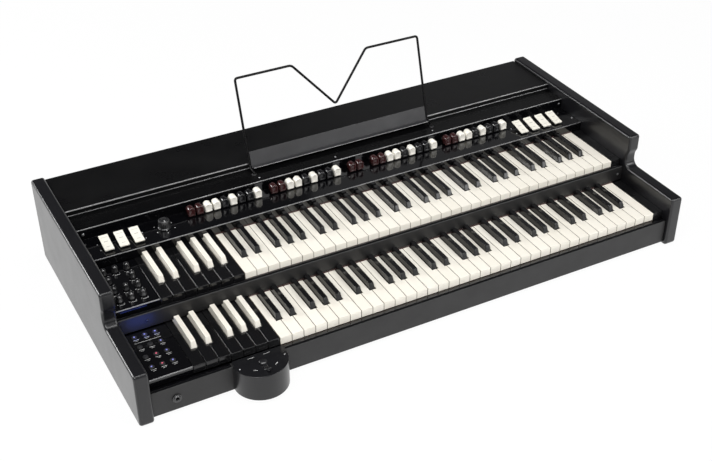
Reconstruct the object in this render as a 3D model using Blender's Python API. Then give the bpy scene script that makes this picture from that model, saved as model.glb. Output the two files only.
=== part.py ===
"""Drawbar organ with two manuals, built piece by piece.

Units are metres. +Z is up, +X is the player's right and +Y points away from the player.
The origin is on the surface that the organ stands on, under the middle of its overall box.
"""
import math

import bmesh
import bpy
from mathutils import Matrix, Vector

# Clearances and overlaps
FIT = 0.0003             # between pieces that rest on or meet each other
RUNNING = 0.0005         # between a moving piece and what guides it
OVERLAP = 0.001          # how far joined solids of one piece reach into each other
CUT_PAST = 0.010         # how far a cutter runs past the faces that it goes through

# Keys
KEY_PITCH = 0.0235
KEY_GAP = 0.0009
KEY_THICK = 0.0157
KEY_LENGTH = 0.215       # from the front face to the hinge line
TAIL_LENGTH = 0.172      # from the front face to where the bank's bar begins
NOTCH_WIDTH = 0.0137
SHARP_WIDTH = 0.0120
SHARP_TOP_WIDTH = 0.0094
SHARP_SETBACK = 0.0478
SHARP_SLOPE = 0.0055
SHARP_RISE = 0.0110
SHARP_FOOT = 0.0040      # how far a sharp reaches down into its notch
SHARP_BAR_SETBACK = 0.005        # from the naturals' bar back to the sharps' bar
BAR_OVERLAP = 0.002      # how far the keys reach into their bank's bar
MAIN_NATURALS = 36
PRESET_NATURALS = 7
SINGLE_KEY_COUNT = 2     # naturals at the top of the upper manual that are hinged one by one

# Casework, from left to right
CHEEK_THICK = 0.027
PANEL_WIDTH = 0.085
END_BLOCK_WIDTH = 0.0245

# Casework, from front to back
RAIL_FRONT = 0.009       # front rail's face behind the cheek's front edge
RAIL_THICK = 0.0125
LOWER_VISIBLE = 0.1372   # lower key front to the mid rail's face
MID_RAIL_THICK = 0.009
KEY_FRONT_GAP = 0.0013   # rail to key front
UPPER_VISIBLE = 0.1427   # upper key front to the drawbar panel's lip
FLOOR_DEPTH = 0.0755     # drawbar panel's lip to its fascia
CAP_VISIBLE = 0.053
LID_GAP = 0.003
LID_DEPTH = 0.137
CAP_UNDER_LID = 0.036
BACK_THICK = 0.012
STEP_BEFORE_MID_RAIL = 0.010

# Casework, from bottom to top
BASE_GAP = 0.006
BOARD_THICK = 0.012
LOWER_KEY_TOP = 0.0757
MANUAL_RISE = 0.0475
SHELF_BELOW_KEY = 0.0245         # upper key's underside to the upper frame's base
RAIL_BELOW_KEY = 0.0020
MID_RAIL_OVER_KEY = 0.0018
MID_RAIL_HEIGHT = 0.0325
CHEEK_OVER_MID_RAIL = 0.002
LIP_OVER_KEY = 0.0013
FLOOR_RISE = 0.0193      # upper key top to the drawbar floor
FASCIA_HEIGHT = 0.0192
CAP_THICK = 0.003
LID_THICK = 0.0112
CHEEK_STAND = 0.0075     # cheek above the lid
SHEET = 0.003            # wall of the bent panels

# Cheek profile
CHEEK_CORNER = 0.008
CHEEK_NOSE = 0.006
COVE_RADIUS = 0.015
COVE_UNDERCUT = 0.006
COVE_UPPER_RADIUS = 0.0243
COVE_BELLY = 0.006       # straight part between the cove's two arcs
STEP_EDGE = 0.006

# Key frames
FRAME_SHEET = 0.004
FRAME_WALL = 0.0115
LEDGE_DEPTH = 0.0035
LEDGE_THICK = 0.004
GUIDE_FROM_FRONT = 0.021
GUIDE_DEPTH = 0.012
GUIDE_BELOW_KEY = 0.0095
FRAME_FROM_FRONT = 0.0035
BOARD_SHEET = 0.0016
CONTACT_FROM_FRONT = 0.046
CONTACT_DEPTH = 0.110
CONTACT_STRIP = 0.006
CONTACT_HEIGHT = 0.009

# Drawbars
DRAWBAR_PITCH = 0.01765
DRAWBAR_WIDTH = 0.0146
DRAWBAR_HEIGHT = 0.0185
DRAWBAR_DEPTH = 0.0155
DRAWBAR_ROUND = 0.0065
DRAWBAR_LIFT = 0.0018    # knob above the floor
DRAWBAR_FROM_LIP = 0.0495
DRAWBAR_START = 0.217    # left cheek's inner face to the first knob
DRAWBARS_IN_SET = 9
DRAWBAR_SETS = (0, 10, 23, 33)   # first slot of each set of nine
PEDAL_SLOT = 20
PEDAL_DRAWBARS = 2
STEM_WIDTH = 0.008
STEM_THICK = 0.004
STEM_REACH = 0.080       # behind the fascia's face
SHELF_RISE = 0.0031
CARRIER_DEPTH = 0.012

# Rocker tabs
TAB_WIDTH = 0.0185
TAB_LENGTH = 0.041
TAB_THICK = 0.0035
TAB_PITCH = 0.0296
TAB_TILT = math.radians(12.0)
TAB_RISE = 0.0085        # pivot to the tab's underside
TAB_STEM = 0.005
TAB_STEM_BELOW = 0.002   # pivot to the stem's lower end
TAB_FROM_LIP = 0.0360
LEFT_TABS = 3
RIGHT_TABS = 4
LEFT_TAB_START = 0.0469  # left cheek's inner face to the first tab's middle
RIGHT_TAB_START = 0.0510  # right cheek's inner face to the last tab's middle

# Round controls
VIBRATO_AT = (0.164, 0.0425)     # from the left cheek's inner face and the panel's lip
VIBRATO_RADIUS = 0.0132
VIBRATO_TOP_RADIUS = 0.0110
VIBRATO_HEIGHT = 0.0175
VIBRATO_SHAFT_BELOW = 0.004      # shaft below the drawbar panel
POINTER_WIDTH = 0.0024
POINTER_PROUD = 0.002
SHAFT_RADIUS = 0.003
KNOB_RADIUS = 0.0062
KNOB_TOP_RADIUS = 0.0053
KNOB_HEIGHT = 0.0125
KNOB_LIFT = 0.0006
KNOB_COLUMNS = 3
KNOB_ROWS = 4
KNOB_COLUMN_PITCH = 0.0222
KNOB_ROW_PITCH = 0.0305
KNOB_AT = (0.0185, 0.0270)       # first knob from the panel's left and front edges
MISSING_KNOB = (1, 2)            # column and row that the panel leaves bare
VOLUME_KNOB = (0, 3)
POT_SIZE = 0.0095
POT_HEIGHT = 0.0065
VOLUME_POT_DROP = 0.002          # the turning knob's pot is this much lower
BUTTON_RADIUS = 0.0052
BUTTON_PROUD = 0.0014
BUTTON_COLUMNS = 3
BUTTON_ROWS = 4
BUTTON_COLUMN_PITCH = 0.0194
BUTTON_ROW_PITCH = 0.0300
BUTTON_AT = (0.0219, 0.0338)
MAT_THICK = 0.002
MAT_MARGIN = 0.003       # mat beyond the buttons at its edges

# Half-moon switch and headphone socket
HALF_MOON_AT = 0.202     # left cheek's inner face to its middle
HALF_MOON_RADIUS = 0.0508
HALF_MOON_REACH = 0.045  # in front of the cheek's front edge
HALF_MOON_OVER_RAIL = 0.0015
HALF_MOON_WALL = 0.003
TONGUE_WIDTH = 0.096
LEVER_LENGTH = 0.027
LEVER_WIDTH = 0.007
LEVER_THICK = 0.003
LEVER_HUB = 0.0075
LEVER_HUB_THICK = 0.004
LEVER_GRIP = 0.010
LEVER_SLOPE = 0.006
LEVER_SHAFT_BELOW = 0.003        # shaft below the housing's top wall
LEVER_FROM_FRONT = 0.038
SOCKET_AT = (0.0457, 0.0258)     # from the left cheek's inner face and the rail's lower edge
SOCKET_FLANGE = 0.0085
SOCKET_FLANGE_THICK = 0.002
SOCKET_BARREL = 0.0060
SOCKET_BORE = 0.0032
SOCKET_DEPTH = 0.028
SOCKET_BORE_DEPTH = 0.018

# Music stand
WIRE_RADIUS = 0.0025
STAND_MIDDLE = 0.5895    # left cheek's inner face to the stand's middle
STAND_HALF_WIDTH = 0.208
STAND_HEIGHT = 0.1815
STAND_TILT = math.radians(16.0)
STAND_NOTCH_HALF = 0.085
STAND_NOTCH_BOTTOM = 0.083
STAND_BEND = 0.010
FOOT_FROM_FASCIA = 0.030
FOOT_DEPTH = 0.009
LEG_BACK = 0.021
LEG_RISE = 0.0074
PLATE_HEIGHT = 0.030
PLATE_LEDGE = 0.013
PLATE_THICK = 0.0014

# Rear and inside
CONNECTOR_WIDTH = 0.300
CONNECTOR_HEIGHT = 0.036
CONNECTOR_AT = 0.470     # left cheek's inner face to its middle
CONNECTOR_LIFT = 0.050
JACK_RADIUS = 0.0060
JACK_BORE = 0.0033
JACK_COUNT = 6
JACK_PITCH = 0.040
JACK_DEPTH = 0.012       # behind the plate
JACK_PROUD = 0.002
JACK_FLOOR = 0.002
INLET_WIDTH = 0.030
INLET_HEIGHT = 0.024
INLET_DEPTH = 0.024
INLET_HOLLOW_DEPTH = 0.018
INLET_AT = 0.930
PIN_PITCH = 0.007
PIN_WIDTH = 0.002
PIN_HEIGHT = 0.004
PIN_SETBACK = 0.004
SWITCH_WIDTH = 0.022
SWITCH_HEIGHT = 0.021
SWITCH_EDGE = 0.006      # depth at its upper and lower edges
SWITCH_DEPTH = 0.010
SWITCH_AT = 0.985
SWITCH_TILT = math.radians(10.0)
MAIN_BOARD = (0.300, 0.120)
MAIN_BOARD_AT = 0.470
BOARD_BEHIND_FRAME = 0.015
STANDOFF = 0.008
STANDOFF_INSET = 0.014
CHIP_SIZE = 0.028
CHIP_HEIGHT = 0.003
CHIPS_APART = 0.100
SUPPLY = (0.110, 0.080, 0.038)
SUPPLY_AT = 0.930
SUPPLY_BEFORE_BACK = 0.075

ROUND_STEPS = 24
SMALL_STEPS = 12
BORE_STEPS = 8

# Levels and places worked out from the sizes above
MAIN_WIDTH = MAIN_NATURALS * KEY_PITCH
PRESET_WIDTH = PRESET_NATURALS * KEY_PITCH
INNER_WIDTH = PANEL_WIDTH + PRESET_WIDTH + MAIN_WIDTH + END_BLOCK_WIDTH
X_LEFT = -INNER_WIDTH / 2
X_RIGHT = INNER_WIDTH / 2
X_PRESETS = X_LEFT + PANEL_WIDTH
X_MAIN = X_PRESETS + PRESET_WIDTH
X_BLOCK = X_MAIN + MAIN_WIDTH

DEPTH = (RAIL_FRONT + RAIL_THICK + KEY_FRONT_GAP + LOWER_VISIBLE + MID_RAIL_THICK + KEY_FRONT_GAP
         + UPPER_VISIBLE + FLOOR_DEPTH + CAP_VISIBLE + LID_GAP + LID_DEPTH)
Y_FRONT = -(DEPTH - HALF_MOON_REACH) / 2
Y_BACK = Y_FRONT + DEPTH
Y_RAIL = Y_FRONT + RAIL_FRONT
Y_LOWER = Y_RAIL + RAIL_THICK + KEY_FRONT_GAP
Y_MID_RAIL = Y_LOWER + LOWER_VISIBLE
Y_UPPER = Y_MID_RAIL + MID_RAIL_THICK + KEY_FRONT_GAP
Y_LIP = Y_UPPER + UPPER_VISIBLE
Y_FASCIA = Y_LIP + FLOOR_DEPTH
Y_LID = Y_FASCIA + CAP_VISIBLE + LID_GAP
Y_LOWER_HINGE = Y_LOWER + KEY_LENGTH
Y_UPPER_HINGE = Y_UPPER + KEY_LENGTH

Z_BOARD = BASE_GAP + BOARD_THICK
Z_LOWER = LOWER_KEY_TOP - KEY_THICK
Z_UPPER = Z_LOWER + MANUAL_RISE
Z_MID_RAIL = LOWER_KEY_TOP + MID_RAIL_OVER_KEY
Z_RAIL_TOP = Z_LOWER - RAIL_BELOW_KEY
Z_SHELF = Z_UPPER - SHELF_BELOW_KEY
Z_FLOOR = Z_UPPER + KEY_THICK + FLOOR_RISE
Z_CAP = Z_FLOOR + FASCIA_HEIGHT + FIT
Z_LID = Z_CAP + CAP_THICK + FIT
Z_TOP = Z_LID + LID_THICK + CHEEK_STAND
Z_LOW_CHEEK = Z_MID_RAIL + MID_RAIL_HEIGHT + CHEEK_OVER_MID_RAIL

COLORS = {
    "cheek": ((0.030, 0.029, 0.031), 0.45, 0.0),
    "board": ((0.10, 0.075, 0.05), 0.70, 0.0),
    "satin": ((0.022, 0.022, 0.024), 0.38, 0.0),
    "gloss": ((0.008, 0.008, 0.009), 0.12, 0.0),
    "frame": ((0.35, 0.36, 0.37), 0.45, 0.9),
    "ivory": ((0.82, 0.79, 0.70), 0.28, 0.0),
    "ebony": ((0.012, 0.012, 0.013), 0.22, 0.0),
    "brown": ((0.085, 0.020, 0.016), 0.28, 0.0),
    "white": ((0.82, 0.80, 0.74), 0.30, 0.0),
    "knob": ((0.015, 0.015, 0.016), 0.35, 0.0),
    "rubber": ((0.030, 0.030, 0.032), 0.65, 0.0),
    "board_green": ((0.02, 0.11, 0.05), 0.50, 0.0),
    "steel": ((0.55, 0.56, 0.58), 0.35, 1.0),
    "wire": ((0.030, 0.030, 0.032), 0.40, 0.3),
}


def clear_scene():
    for thing in list(bpy.data.objects):
        bpy.data.objects.remove(thing, do_unlink=True)


def collection(name):
    found = bpy.data.collections.get(name) or bpy.data.collections.new(name)
    if found.name not in bpy.context.scene.collection.children:
        bpy.context.scene.collection.children.link(found)
    return found


def material(name):
    found = bpy.data.materials.get(name)
    if found:
        return found
    color, roughness, metallic = COLORS[name]
    made = bpy.data.materials.new(name)
    made.use_nodes = True
    shader = made.node_tree.nodes["Principled BSDF"]
    shader.inputs["Base Color"].default_value = (*color, 1.0)
    shader.inputs["Roughness"].default_value = roughness
    shader.inputs["Metallic"].default_value = metallic
    return made


def add_object(name, data, color, matrix=None):
    made = bpy.data.objects.new(name, data)
    parts.objects.link(made)
    if matrix is not None:
        made.matrix_world = matrix
    data.materials.append(material(color))
    return made


def as_tool(piece):
    """Moves a piece to the cutters, where it only shapes another piece."""
    parts.objects.unlink(piece)
    cutters.objects.link(piece)
    piece.hide_render = True
    piece.display_type = "WIRE"
    return piece


def combine(target, tool, operation):
    modifier = target.modifiers.new(operation.lower(), "BOOLEAN")
    modifier.operation = operation
    modifier.solver = "EXACT"
    modifier.object = as_tool(tool)
    return target


def cut(target, tool):
    return combine(target, tool, "DIFFERENCE")


def join(target, tool):
    return combine(target, tool, "UNION")


def mesh_object(name, shape, color, origin=(0.0, 0.0, 0.0)):
    """Makes an object of a bmesh in world coordinates, with its origin where asked."""
    origin = Vector(origin)
    bmesh.ops.translate(shape, verts=shape.verts, vec=-origin)
    data = bpy.data.meshes.new(name)
    shape.to_mesh(data)
    shape.free()
    return add_object(name, data, color, Matrix.Translation(origin))


def add_box(shape, low, high):
    size = [b - a for a, b in zip(low, high)]
    middle = [(a + b) / 2 for a, b in zip(low, high)]
    matrix = Matrix.Translation(middle) @ Matrix.Diagonal((*size, 1.0))
    return bmesh.ops.create_cube(shape, size=1.0, matrix=matrix)["verts"]


def box(name, low, high, color, origin=(0.0, 0.0, 0.0)):
    shape = bmesh.new()
    add_box(shape, low, high)
    return mesh_object(name, shape, color, origin)


def add_cylinder(shape, base, height, radius, steps=ROUND_STEPS, top_radius=None, axis="Z"):
    turn = Matrix.Identity(4) if axis == "Z" else Matrix.Rotation(-math.pi / 2, 4, "X")
    matrix = Matrix.Translation(base) @ turn @ Matrix.Translation((0.0, 0.0, height / 2))
    radius2 = radius if top_radius is None else top_radius
    bmesh.ops.create_cone(shape, cap_ends=True, segments=steps, radius1=radius, radius2=radius2,
                          depth=height, matrix=matrix)


def cylinder(name, base, height, radius, color, steps=ROUND_STEPS, top_radius=None, axis="Z",
             origin=(0.0, 0.0, 0.0)):
    """A turned cylinder that rises from base along +Z, or runs along +Y."""
    shape = bmesh.new()
    add_cylinder(shape, base, height, radius, steps, top_radius, axis)
    made = mesh_object(name, shape, color, origin)
    made.data.shade_smooth()
    made.data.set_sharp_from_angle(angle=math.radians(40))
    return made


def arc(middle, radius, start, end, steps):
    """Points on an arc, with its angles in degrees."""
    points = []
    for step in range(steps + 1):
        angle = math.radians(start + (end - start) * step / steps)
        points.append((middle[0] + radius * math.cos(angle), middle[1] + radius * math.sin(angle)))
    return points


def extrude(name, outlines, low, high, color, plane, origin=(0.0, 0.0, 0.0)):
    """Flat outlines given in the plane YZ, XZ or XY, extruded across it from low to high."""
    curve = bpy.data.curves.new(name, "CURVE")
    curve.dimensions = "2D"
    curve.fill_mode = "BOTH"
    curve.extrude = (high - low) / 2
    for outline in outlines:
        spline = curve.splines.new("POLY")
        spline.points.add(len(outline) - 1)
        spline.use_cyclic_u = True
        for point, (a, b) in zip(spline.points, outline):
            point.co = (a, b, 0.0, 1.0)
    middle = (high + low) / 2
    if plane == "YZ":
        matrix = Matrix(((0, 0, 1, middle), (1, 0, 0, 0), (0, 1, 0, 0), (0, 0, 0, 1)))
    elif plane == "XZ":
        matrix = Matrix(((1, 0, 0, 0), (0, 0, -1, middle), (0, 1, 0, 0), (0, 0, 0, 1)))
    else:
        matrix = Matrix.Translation((0, 0, middle))
    return curve_to_mesh(add_object(name, curve, color, matrix), origin)


def curve_to_mesh(piece, origin=(0.0, 0.0, 0.0)):
    """Replaces a curve by its mesh with the caps welded, so that it can be cut and joined."""
    bpy.context.view_layer.update()
    graph = bpy.context.evaluated_depsgraph_get()
    data = bpy.data.meshes.new_from_object(piece.evaluated_get(graph))
    name = piece.name
    color = piece.data.materials[0].name
    matrix = piece.matrix_world.copy()
    bpy.data.objects.remove(piece, do_unlink=True)
    shape = bmesh.new()
    shape.from_mesh(data)
    bpy.data.meshes.remove(data)
    bmesh.ops.remove_doubles(shape, verts=shape.verts, dist=0.00001)
    bmesh.ops.transform(shape, matrix=matrix, verts=shape.verts)
    return mesh_object(name, shape, color, origin)


# Keys

def natural_tail(index, count):
    """Left and right edge of a natural's narrow tail, from the bank's left edge."""
    octave, step = divmod(index, 7)
    first, size = (0, 3) if step < 3 else (3, 4)
    start = (octave * 7 + first) * KEY_PITCH
    size = min(size, count - octave * 7 - first)
    tail = (size * KEY_PITCH - (size - 1) * NOTCH_WIDTH) / size
    left = start + (step - first) * (tail + NOTCH_WIDTH)
    return left, left + tail


def has_notch_after(index, count):
    return index + 1 < count and index % 7 not in (2, 6)


def natural_outline(x_bank, y_front, index, count, length):
    """Plan of one natural: wide at the front, with a notch where a sharp lies beside it."""
    left = x_bank + index * KEY_PITCH + KEY_GAP / 2
    right = x_bank + (index + 1) * KEY_PITCH - KEY_GAP / 2
    tail_left, tail_right = natural_tail(index, count)
    y_notch = y_front + SHARP_SETBACK - KEY_GAP
    points = [(left, y_front), (right, y_front)]
    if has_notch_after(index, count):
        right = x_bank + tail_right
        points += [(points[1][0], y_notch), (right, y_notch)]
    points.append((right, y_front + length))
    if index and has_notch_after(index - 1, count):
        tail = x_bank + tail_left
        points += [(tail, y_front + length), (tail, y_notch), (left, y_notch)]
    else:
        points.append((left, y_front + length))
    return points


def natural_bank(name, x_bank, y_front, z_under, members, count, color):
    """A row of naturals joined by the bar that lies on the hinge."""
    hinge = (x_bank, y_front + KEY_LENGTH, z_under)
    outlines = [natural_outline(x_bank, y_front, i, count, TAIL_LENGTH + BAR_OVERLAP) for i in members]
    keys = extrude(name + "_keys", outlines, z_under, z_under + KEY_THICK, color, "XY", hinge)
    left = x_bank + members[0] * KEY_PITCH + KEY_GAP / 2
    right = x_bank + natural_tail(members[-1], count)[1] - KEY_GAP / 2
    bar = box(name, (left, y_front + TAIL_LENGTH, z_under),
              (right, y_front + KEY_LENGTH, z_under + KEY_THICK - SHARP_FOOT - FIT), color, hinge)
    return join(bar, keys)


def sharp_middle(x_bank, index, count):
    """Middle of the sharp that lies after the natural with this index."""
    return x_bank + natural_tail(index, count)[1] + NOTCH_WIDTH / 2


def sharp_outline(y_front, z_under, visible, single):
    """Side view of a sharp: the raised finger part and the low tail behind it."""
    y_nose = y_front + SHARP_SETBACK
    y_end = y_front + visible - KEY_FRONT_GAP
    z_foot = z_under + KEY_THICK - SHARP_FOOT
    z_top = z_under + KEY_THICK
    points = [(y_nose, z_foot), (y_nose + SHARP_SLOPE, z_top + SHARP_RISE),
              (y_end, z_top + SHARP_RISE), (y_end, z_top)]
    if single:
        y_hinge = y_front + KEY_LENGTH
        y_heel = y_front + TAIL_LENGTH
        points += [(y_hinge, z_top), (y_hinge, z_under), (y_heel, z_under), (y_heel, z_foot)]
    else:
        y_tail = y_front + TAIL_LENGTH + SHARP_BAR_SETBACK + BAR_OVERLAP
        points += [(y_tail, z_top), (y_tail, z_foot)]
    return points


def sharp_key(name, x_middle, y_front, z_under, visible, single, color, origin):
    half = SHARP_WIDTH / 2
    outline = sharp_outline(y_front, z_under, visible, single)
    key = extrude(name, [outline], x_middle - half, x_middle + half, color, "YZ", origin)
    z_top = z_under + KEY_THICK - origin[2] + FIT
    for vertex in key.data.vertices:
        if vertex.co.z > z_top:
            x = vertex.co.x + origin[0] - x_middle
            vertex.co.x -= x * (1.0 - SHARP_TOP_WIDTH / SHARP_WIDTH)
    return key


def sharp_bank(name, x_bank, y_front, z_under, visible, members, count, color):
    """A row of sharps joined by the bar that lies on the naturals' bar."""
    hinge = (x_bank, y_front + KEY_LENGTH, z_under)
    middles = [sharp_middle(x_bank, i, count) for i in members]
    bar = box(name, (middles[0] - SHARP_WIDTH / 2, y_front + TAIL_LENGTH + SHARP_BAR_SETBACK,
                     z_under + KEY_THICK - SHARP_FOOT),
              (middles[-1] + SHARP_WIDTH / 2, y_front + KEY_LENGTH, z_under + KEY_THICK), color, hinge)
    shape = bmesh.new()
    for middle in middles:
        key = sharp_key(name + "_key", middle, y_front, z_under, visible, False, color, hinge)
        shape.from_mesh(key.data)
        bpy.data.objects.remove(key, do_unlink=True)
    bmesh.ops.translate(shape, verts=shape.verts, vec=hinge)
    return join(bar, mesh_object(name + "_keys", shape, color, hinge))


def sharps_before(naturals, count):
    return [i for i in range(naturals) if has_notch_after(i, count)]


def manual(prefix, y_front, z_under, visible, singles):
    """One manual: the main bank and the preset bank with its colours the other way round."""
    presets = list(range(PRESET_NATURALS))
    preset_sharps = sharps_before(PRESET_NATURALS, PRESET_NATURALS)
    natural_bank(prefix + "_preset_naturals", X_PRESETS, y_front, z_under, presets,
                 PRESET_NATURALS, "ebony")
    sharp_bank(prefix + "_preset_sharps", X_PRESETS, y_front, z_under, visible, preset_sharps,
               PRESET_NATURALS, "ivory")
    banked = MAIN_NATURALS - singles
    sharps = sharps_before(banked - 1 if singles else MAIN_NATURALS, MAIN_NATURALS)
    natural_bank(prefix + "_naturals", X_MAIN, y_front, z_under, list(range(banked)),
                 MAIN_NATURALS, "ivory")
    sharp_bank(prefix + "_sharps", X_MAIN, y_front, z_under, visible, sharps, MAIN_NATURALS, "ebony")


def single_keys():
    """The last keys of the upper manual, each on its own hinge."""
    origin = (X_MAIN, Y_UPPER_HINGE, Z_UPPER)
    for name, index in (("upper_last_b_key", MAIN_NATURALS - 2), ("upper_last_c_key", MAIN_NATURALS - 1)):
        outline = natural_outline(X_MAIN, Y_UPPER, index, MAIN_NATURALS, KEY_LENGTH)
        extrude(name, [outline], Z_UPPER, Z_UPPER + KEY_THICK, "ivory", "XY", origin)
    middle = sharp_middle(X_MAIN, MAIN_NATURALS - SINGLE_KEY_COUNT - 1, MAIN_NATURALS)
    sharp_key("upper_last_a_sharp_key", middle, Y_UPPER, Z_UPPER, UPPER_VISIBLE, True, "ebony", origin)


# Casework

def cheek(name, x_low, x_high):
    y_step = Y_MID_RAIL - STEP_BEFORE_MID_RAIL
    y_cove = y_step + COVE_UNDERCUT
    upper = COVE_UPPER_RADIUS
    sweep = math.degrees(math.acos(1.0 - COVE_UNDERCUT / upper))
    z_cove = Z_LOW_CHEEK + COVE_RADIUS
    z_belly = z_cove + COVE_BELLY
    outline = arc((Y_FRONT + CHEEK_CORNER, CHEEK_CORNER), CHEEK_CORNER, 180, 270, 5)
    outline += arc((Y_BACK - STEP_EDGE, STEP_EDGE), STEP_EDGE, 270, 360, 3)
    outline += arc((Y_BACK - STEP_EDGE, Z_TOP - STEP_EDGE), STEP_EDGE, 0, 90, 3)
    outline += arc((y_step + STEP_EDGE, Z_TOP - STEP_EDGE), STEP_EDGE, 90, 180, 3)
    outline += arc((y_cove - upper, z_belly), upper, sweep, 0, 5)
    outline += arc((y_cove - COVE_RADIUS, z_cove), COVE_RADIUS, 0, -90, 6)
    outline += arc((Y_FRONT + CHEEK_NOSE, Z_LOW_CHEEK - CHEEK_NOSE), CHEEK_NOSE, 90, 180, 4)
    extrude(name, [outline], x_low, x_high, "cheek", "YZ")


def casework():
    left = X_LEFT + FIT
    right = X_RIGHT - FIT
    cheek("left_cheek", X_LEFT - CHEEK_THICK, X_LEFT)
    cheek("right_cheek", X_RIGHT, X_RIGHT + CHEEK_THICK)
    y_board = Y_RAIL + RAIL_THICK + FIT
    y_back = Y_BACK - BACK_THICK
    box("bottom_board", (left, y_board, BASE_GAP), (right, y_back - FIT, Z_BOARD), "board")
    rail = box("front_rail", (left, Y_RAIL, BASE_GAP), (right, Y_RAIL + RAIL_THICK, Z_RAIL_TOP), "cheek")
    x, z = socket_place()
    cut(rail, cylinder("socket_hole", (x, Y_RAIL - CUT_PAST, z), RAIL_THICK + 2 * CUT_PAST,
                       SOCKET_BARREL + FIT, "cheek", SMALL_STEPS, axis="Y"))
    box("mid_rail", (left, Y_MID_RAIL, Z_MID_RAIL),
        (right, Y_MID_RAIL + MID_RAIL_THICK, Z_MID_RAIL + MID_RAIL_HEIGHT), "cheek")
    box("lid", (left, Y_LID, Z_LID), (right, Y_BACK, Z_LID + LID_THICK), "satin")
    back = box("back_panel", (left, y_back, BASE_GAP), (right, Y_BACK - FIT, Z_LID - FIT), "satin")
    for x, width, height in rear_windows():
        z = Z_BOARD + CONNECTOR_LIFT
        cut(back, box("rear_window", (x - width / 2 - FIT, y_back - CUT_PAST, z - height / 2 - FIT),
                      (x + width / 2 + FIT, Y_BACK + CUT_PAST, z + height / 2 + FIT), "satin"))


def drawbar_panel():
    """Bent panel: the lip over the keys, the floor, the fascia and the shelf behind it."""
    z_under = Z_FLOOR - SHEET
    z_shelf = Z_FLOOR + SHELF_RISE
    z_lip = Z_UPPER + KEY_THICK + LIP_OVER_KEY
    y_end = Y_LID + CAP_UNDER_LID - LID_GAP
    outline = [(Y_LIP, z_lip), (Y_LIP + SHEET, z_lip), (Y_LIP + SHEET, z_under), (y_end, z_under),
               (y_end, Z_CAP - FIT), (y_end - SHEET, Z_CAP - FIT), (y_end - SHEET, z_shelf),
               (Y_FASCIA + SHEET, z_shelf), (Y_FASCIA + SHEET, Z_CAP - FIT), (Y_FASCIA, Z_CAP - FIT),
               (Y_FASCIA, Z_FLOOR), (Y_LIP, Z_FLOOR)]
    panel = extrude("drawbar_panel", [outline], X_LEFT + FIT, X_RIGHT - FIT, "gloss", "YZ")
    shape = bmesh.new()
    for slot, count in drawbar_groups():
        low = drawbar_x(slot) - STEM_WIDTH / 2 - RUNNING
        high = drawbar_x(slot + count - 1) + STEM_WIDTH / 2 + RUNNING
        add_box(shape, (low, Y_FASCIA - CUT_PAST, z_shelf + FIT),
                (high, Y_FASCIA + SHEET + CUT_PAST, z_shelf + STEM_THICK + 2 * RUNNING))
    swing = TAB_STEM / 2 + (SHEET + TAB_RISE) * math.sin(TAB_TILT) + RUNNING
    for middle in tab_middles():
        y = Y_LIP + TAB_FROM_LIP
        add_box(shape, (middle - TAB_STEM / 2 - RUNNING, y - swing, z_under - CUT_PAST),
                (middle + TAB_STEM / 2 + RUNNING, y + swing, Z_FLOOR + CUT_PAST))
    x, y = X_LEFT + VIBRATO_AT[0], Y_LIP + VIBRATO_AT[1]
    add_cylinder(shape, (x, y, z_under - CUT_PAST), SHEET + 2 * CUT_PAST, SHAFT_RADIUS + FIT, SMALL_STEPS)
    cut(panel, mesh_object("panel_holes", shape, "gloss"))
    strip = box("cap_strip", (X_LEFT + FIT, Y_FASCIA, Z_CAP),
                (X_RIGHT - FIT, y_end, Z_CAP + CAP_THICK), "satin")
    shape = bmesh.new()
    for x in stand_feet():
        add_cylinder(shape, (x, Y_FASCIA + FOOT_FROM_FASCIA, Z_CAP - CUT_PAST), CAP_THICK + 2 * CUT_PAST,
                     WIRE_RADIUS + RUNNING, SMALL_STEPS)
    cut(strip, mesh_object("foot_holes", shape, "satin"))


def key_frame(name, y_front, z_base, z_under, z_wall_top, y_block_end, z_block_top):
    """Channel under the keys: front guide, hinge ledge, rear wall and the block at its right end."""
    y_hinge = y_front + KEY_LENGTH
    y_guide = y_front + GUIDE_FROM_FRONT
    y_end = y_hinge + RUNNING + FRAME_WALL
    z_floor = z_base + FRAME_SHEET
    z_guide = z_under - GUIDE_BELOW_KEY
    z_ledge = z_under - FIT
    y_ledge = y_hinge - LEDGE_DEPTH
    outline = [(y_front + FRAME_FROM_FRONT, z_base), (y_end, z_base), (y_end, z_wall_top),
               (y_hinge + RUNNING, z_wall_top), (y_hinge + RUNNING, z_ledge), (y_ledge, z_ledge),
               (y_ledge, z_ledge - LEDGE_THICK), (y_hinge, z_ledge - 2 * LEDGE_THICK),
               (y_hinge, z_floor), (y_guide + GUIDE_DEPTH, z_floor), (y_guide + GUIDE_DEPTH, z_guide),
               (y_guide, z_guide), (y_guide, z_floor), (y_front + FRAME_FROM_FRONT, z_floor)]
    frame = extrude(name, [outline], X_LEFT + FIT, X_RIGHT - FIT, "frame", "YZ")
    block = box(name + "_block", (X_BLOCK + KEY_GAP / 2, y_front, z_base + FRAME_SHEET / 2),
                (X_RIGHT - FIT, y_block_end, z_block_top), "cheek")
    return join(frame, block)


def key_frames():
    y_lower_end = Y_MID_RAIL - FIT
    y_upper_end = Y_LIP - FIT
    z_drawbar_panel = Z_FLOOR - SHEET
    key_frame("lower_key_frame", Y_LOWER, Z_BOARD + FIT, Z_LOWER, Z_SHELF - FIT, y_lower_end,
              Z_LOWER + KEY_THICK)
    key_frame("upper_key_frame", Y_UPPER, Z_SHELF, Z_UPPER, z_drawbar_panel - FIT, y_upper_end,
              Z_UPPER + KEY_THICK)
    contact_board("lower_contact_board", Y_LOWER, Z_BOARD + FIT + FRAME_SHEET)
    contact_board("upper_contact_board", Y_UPPER, Z_SHELF + FRAME_SHEET)


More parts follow.
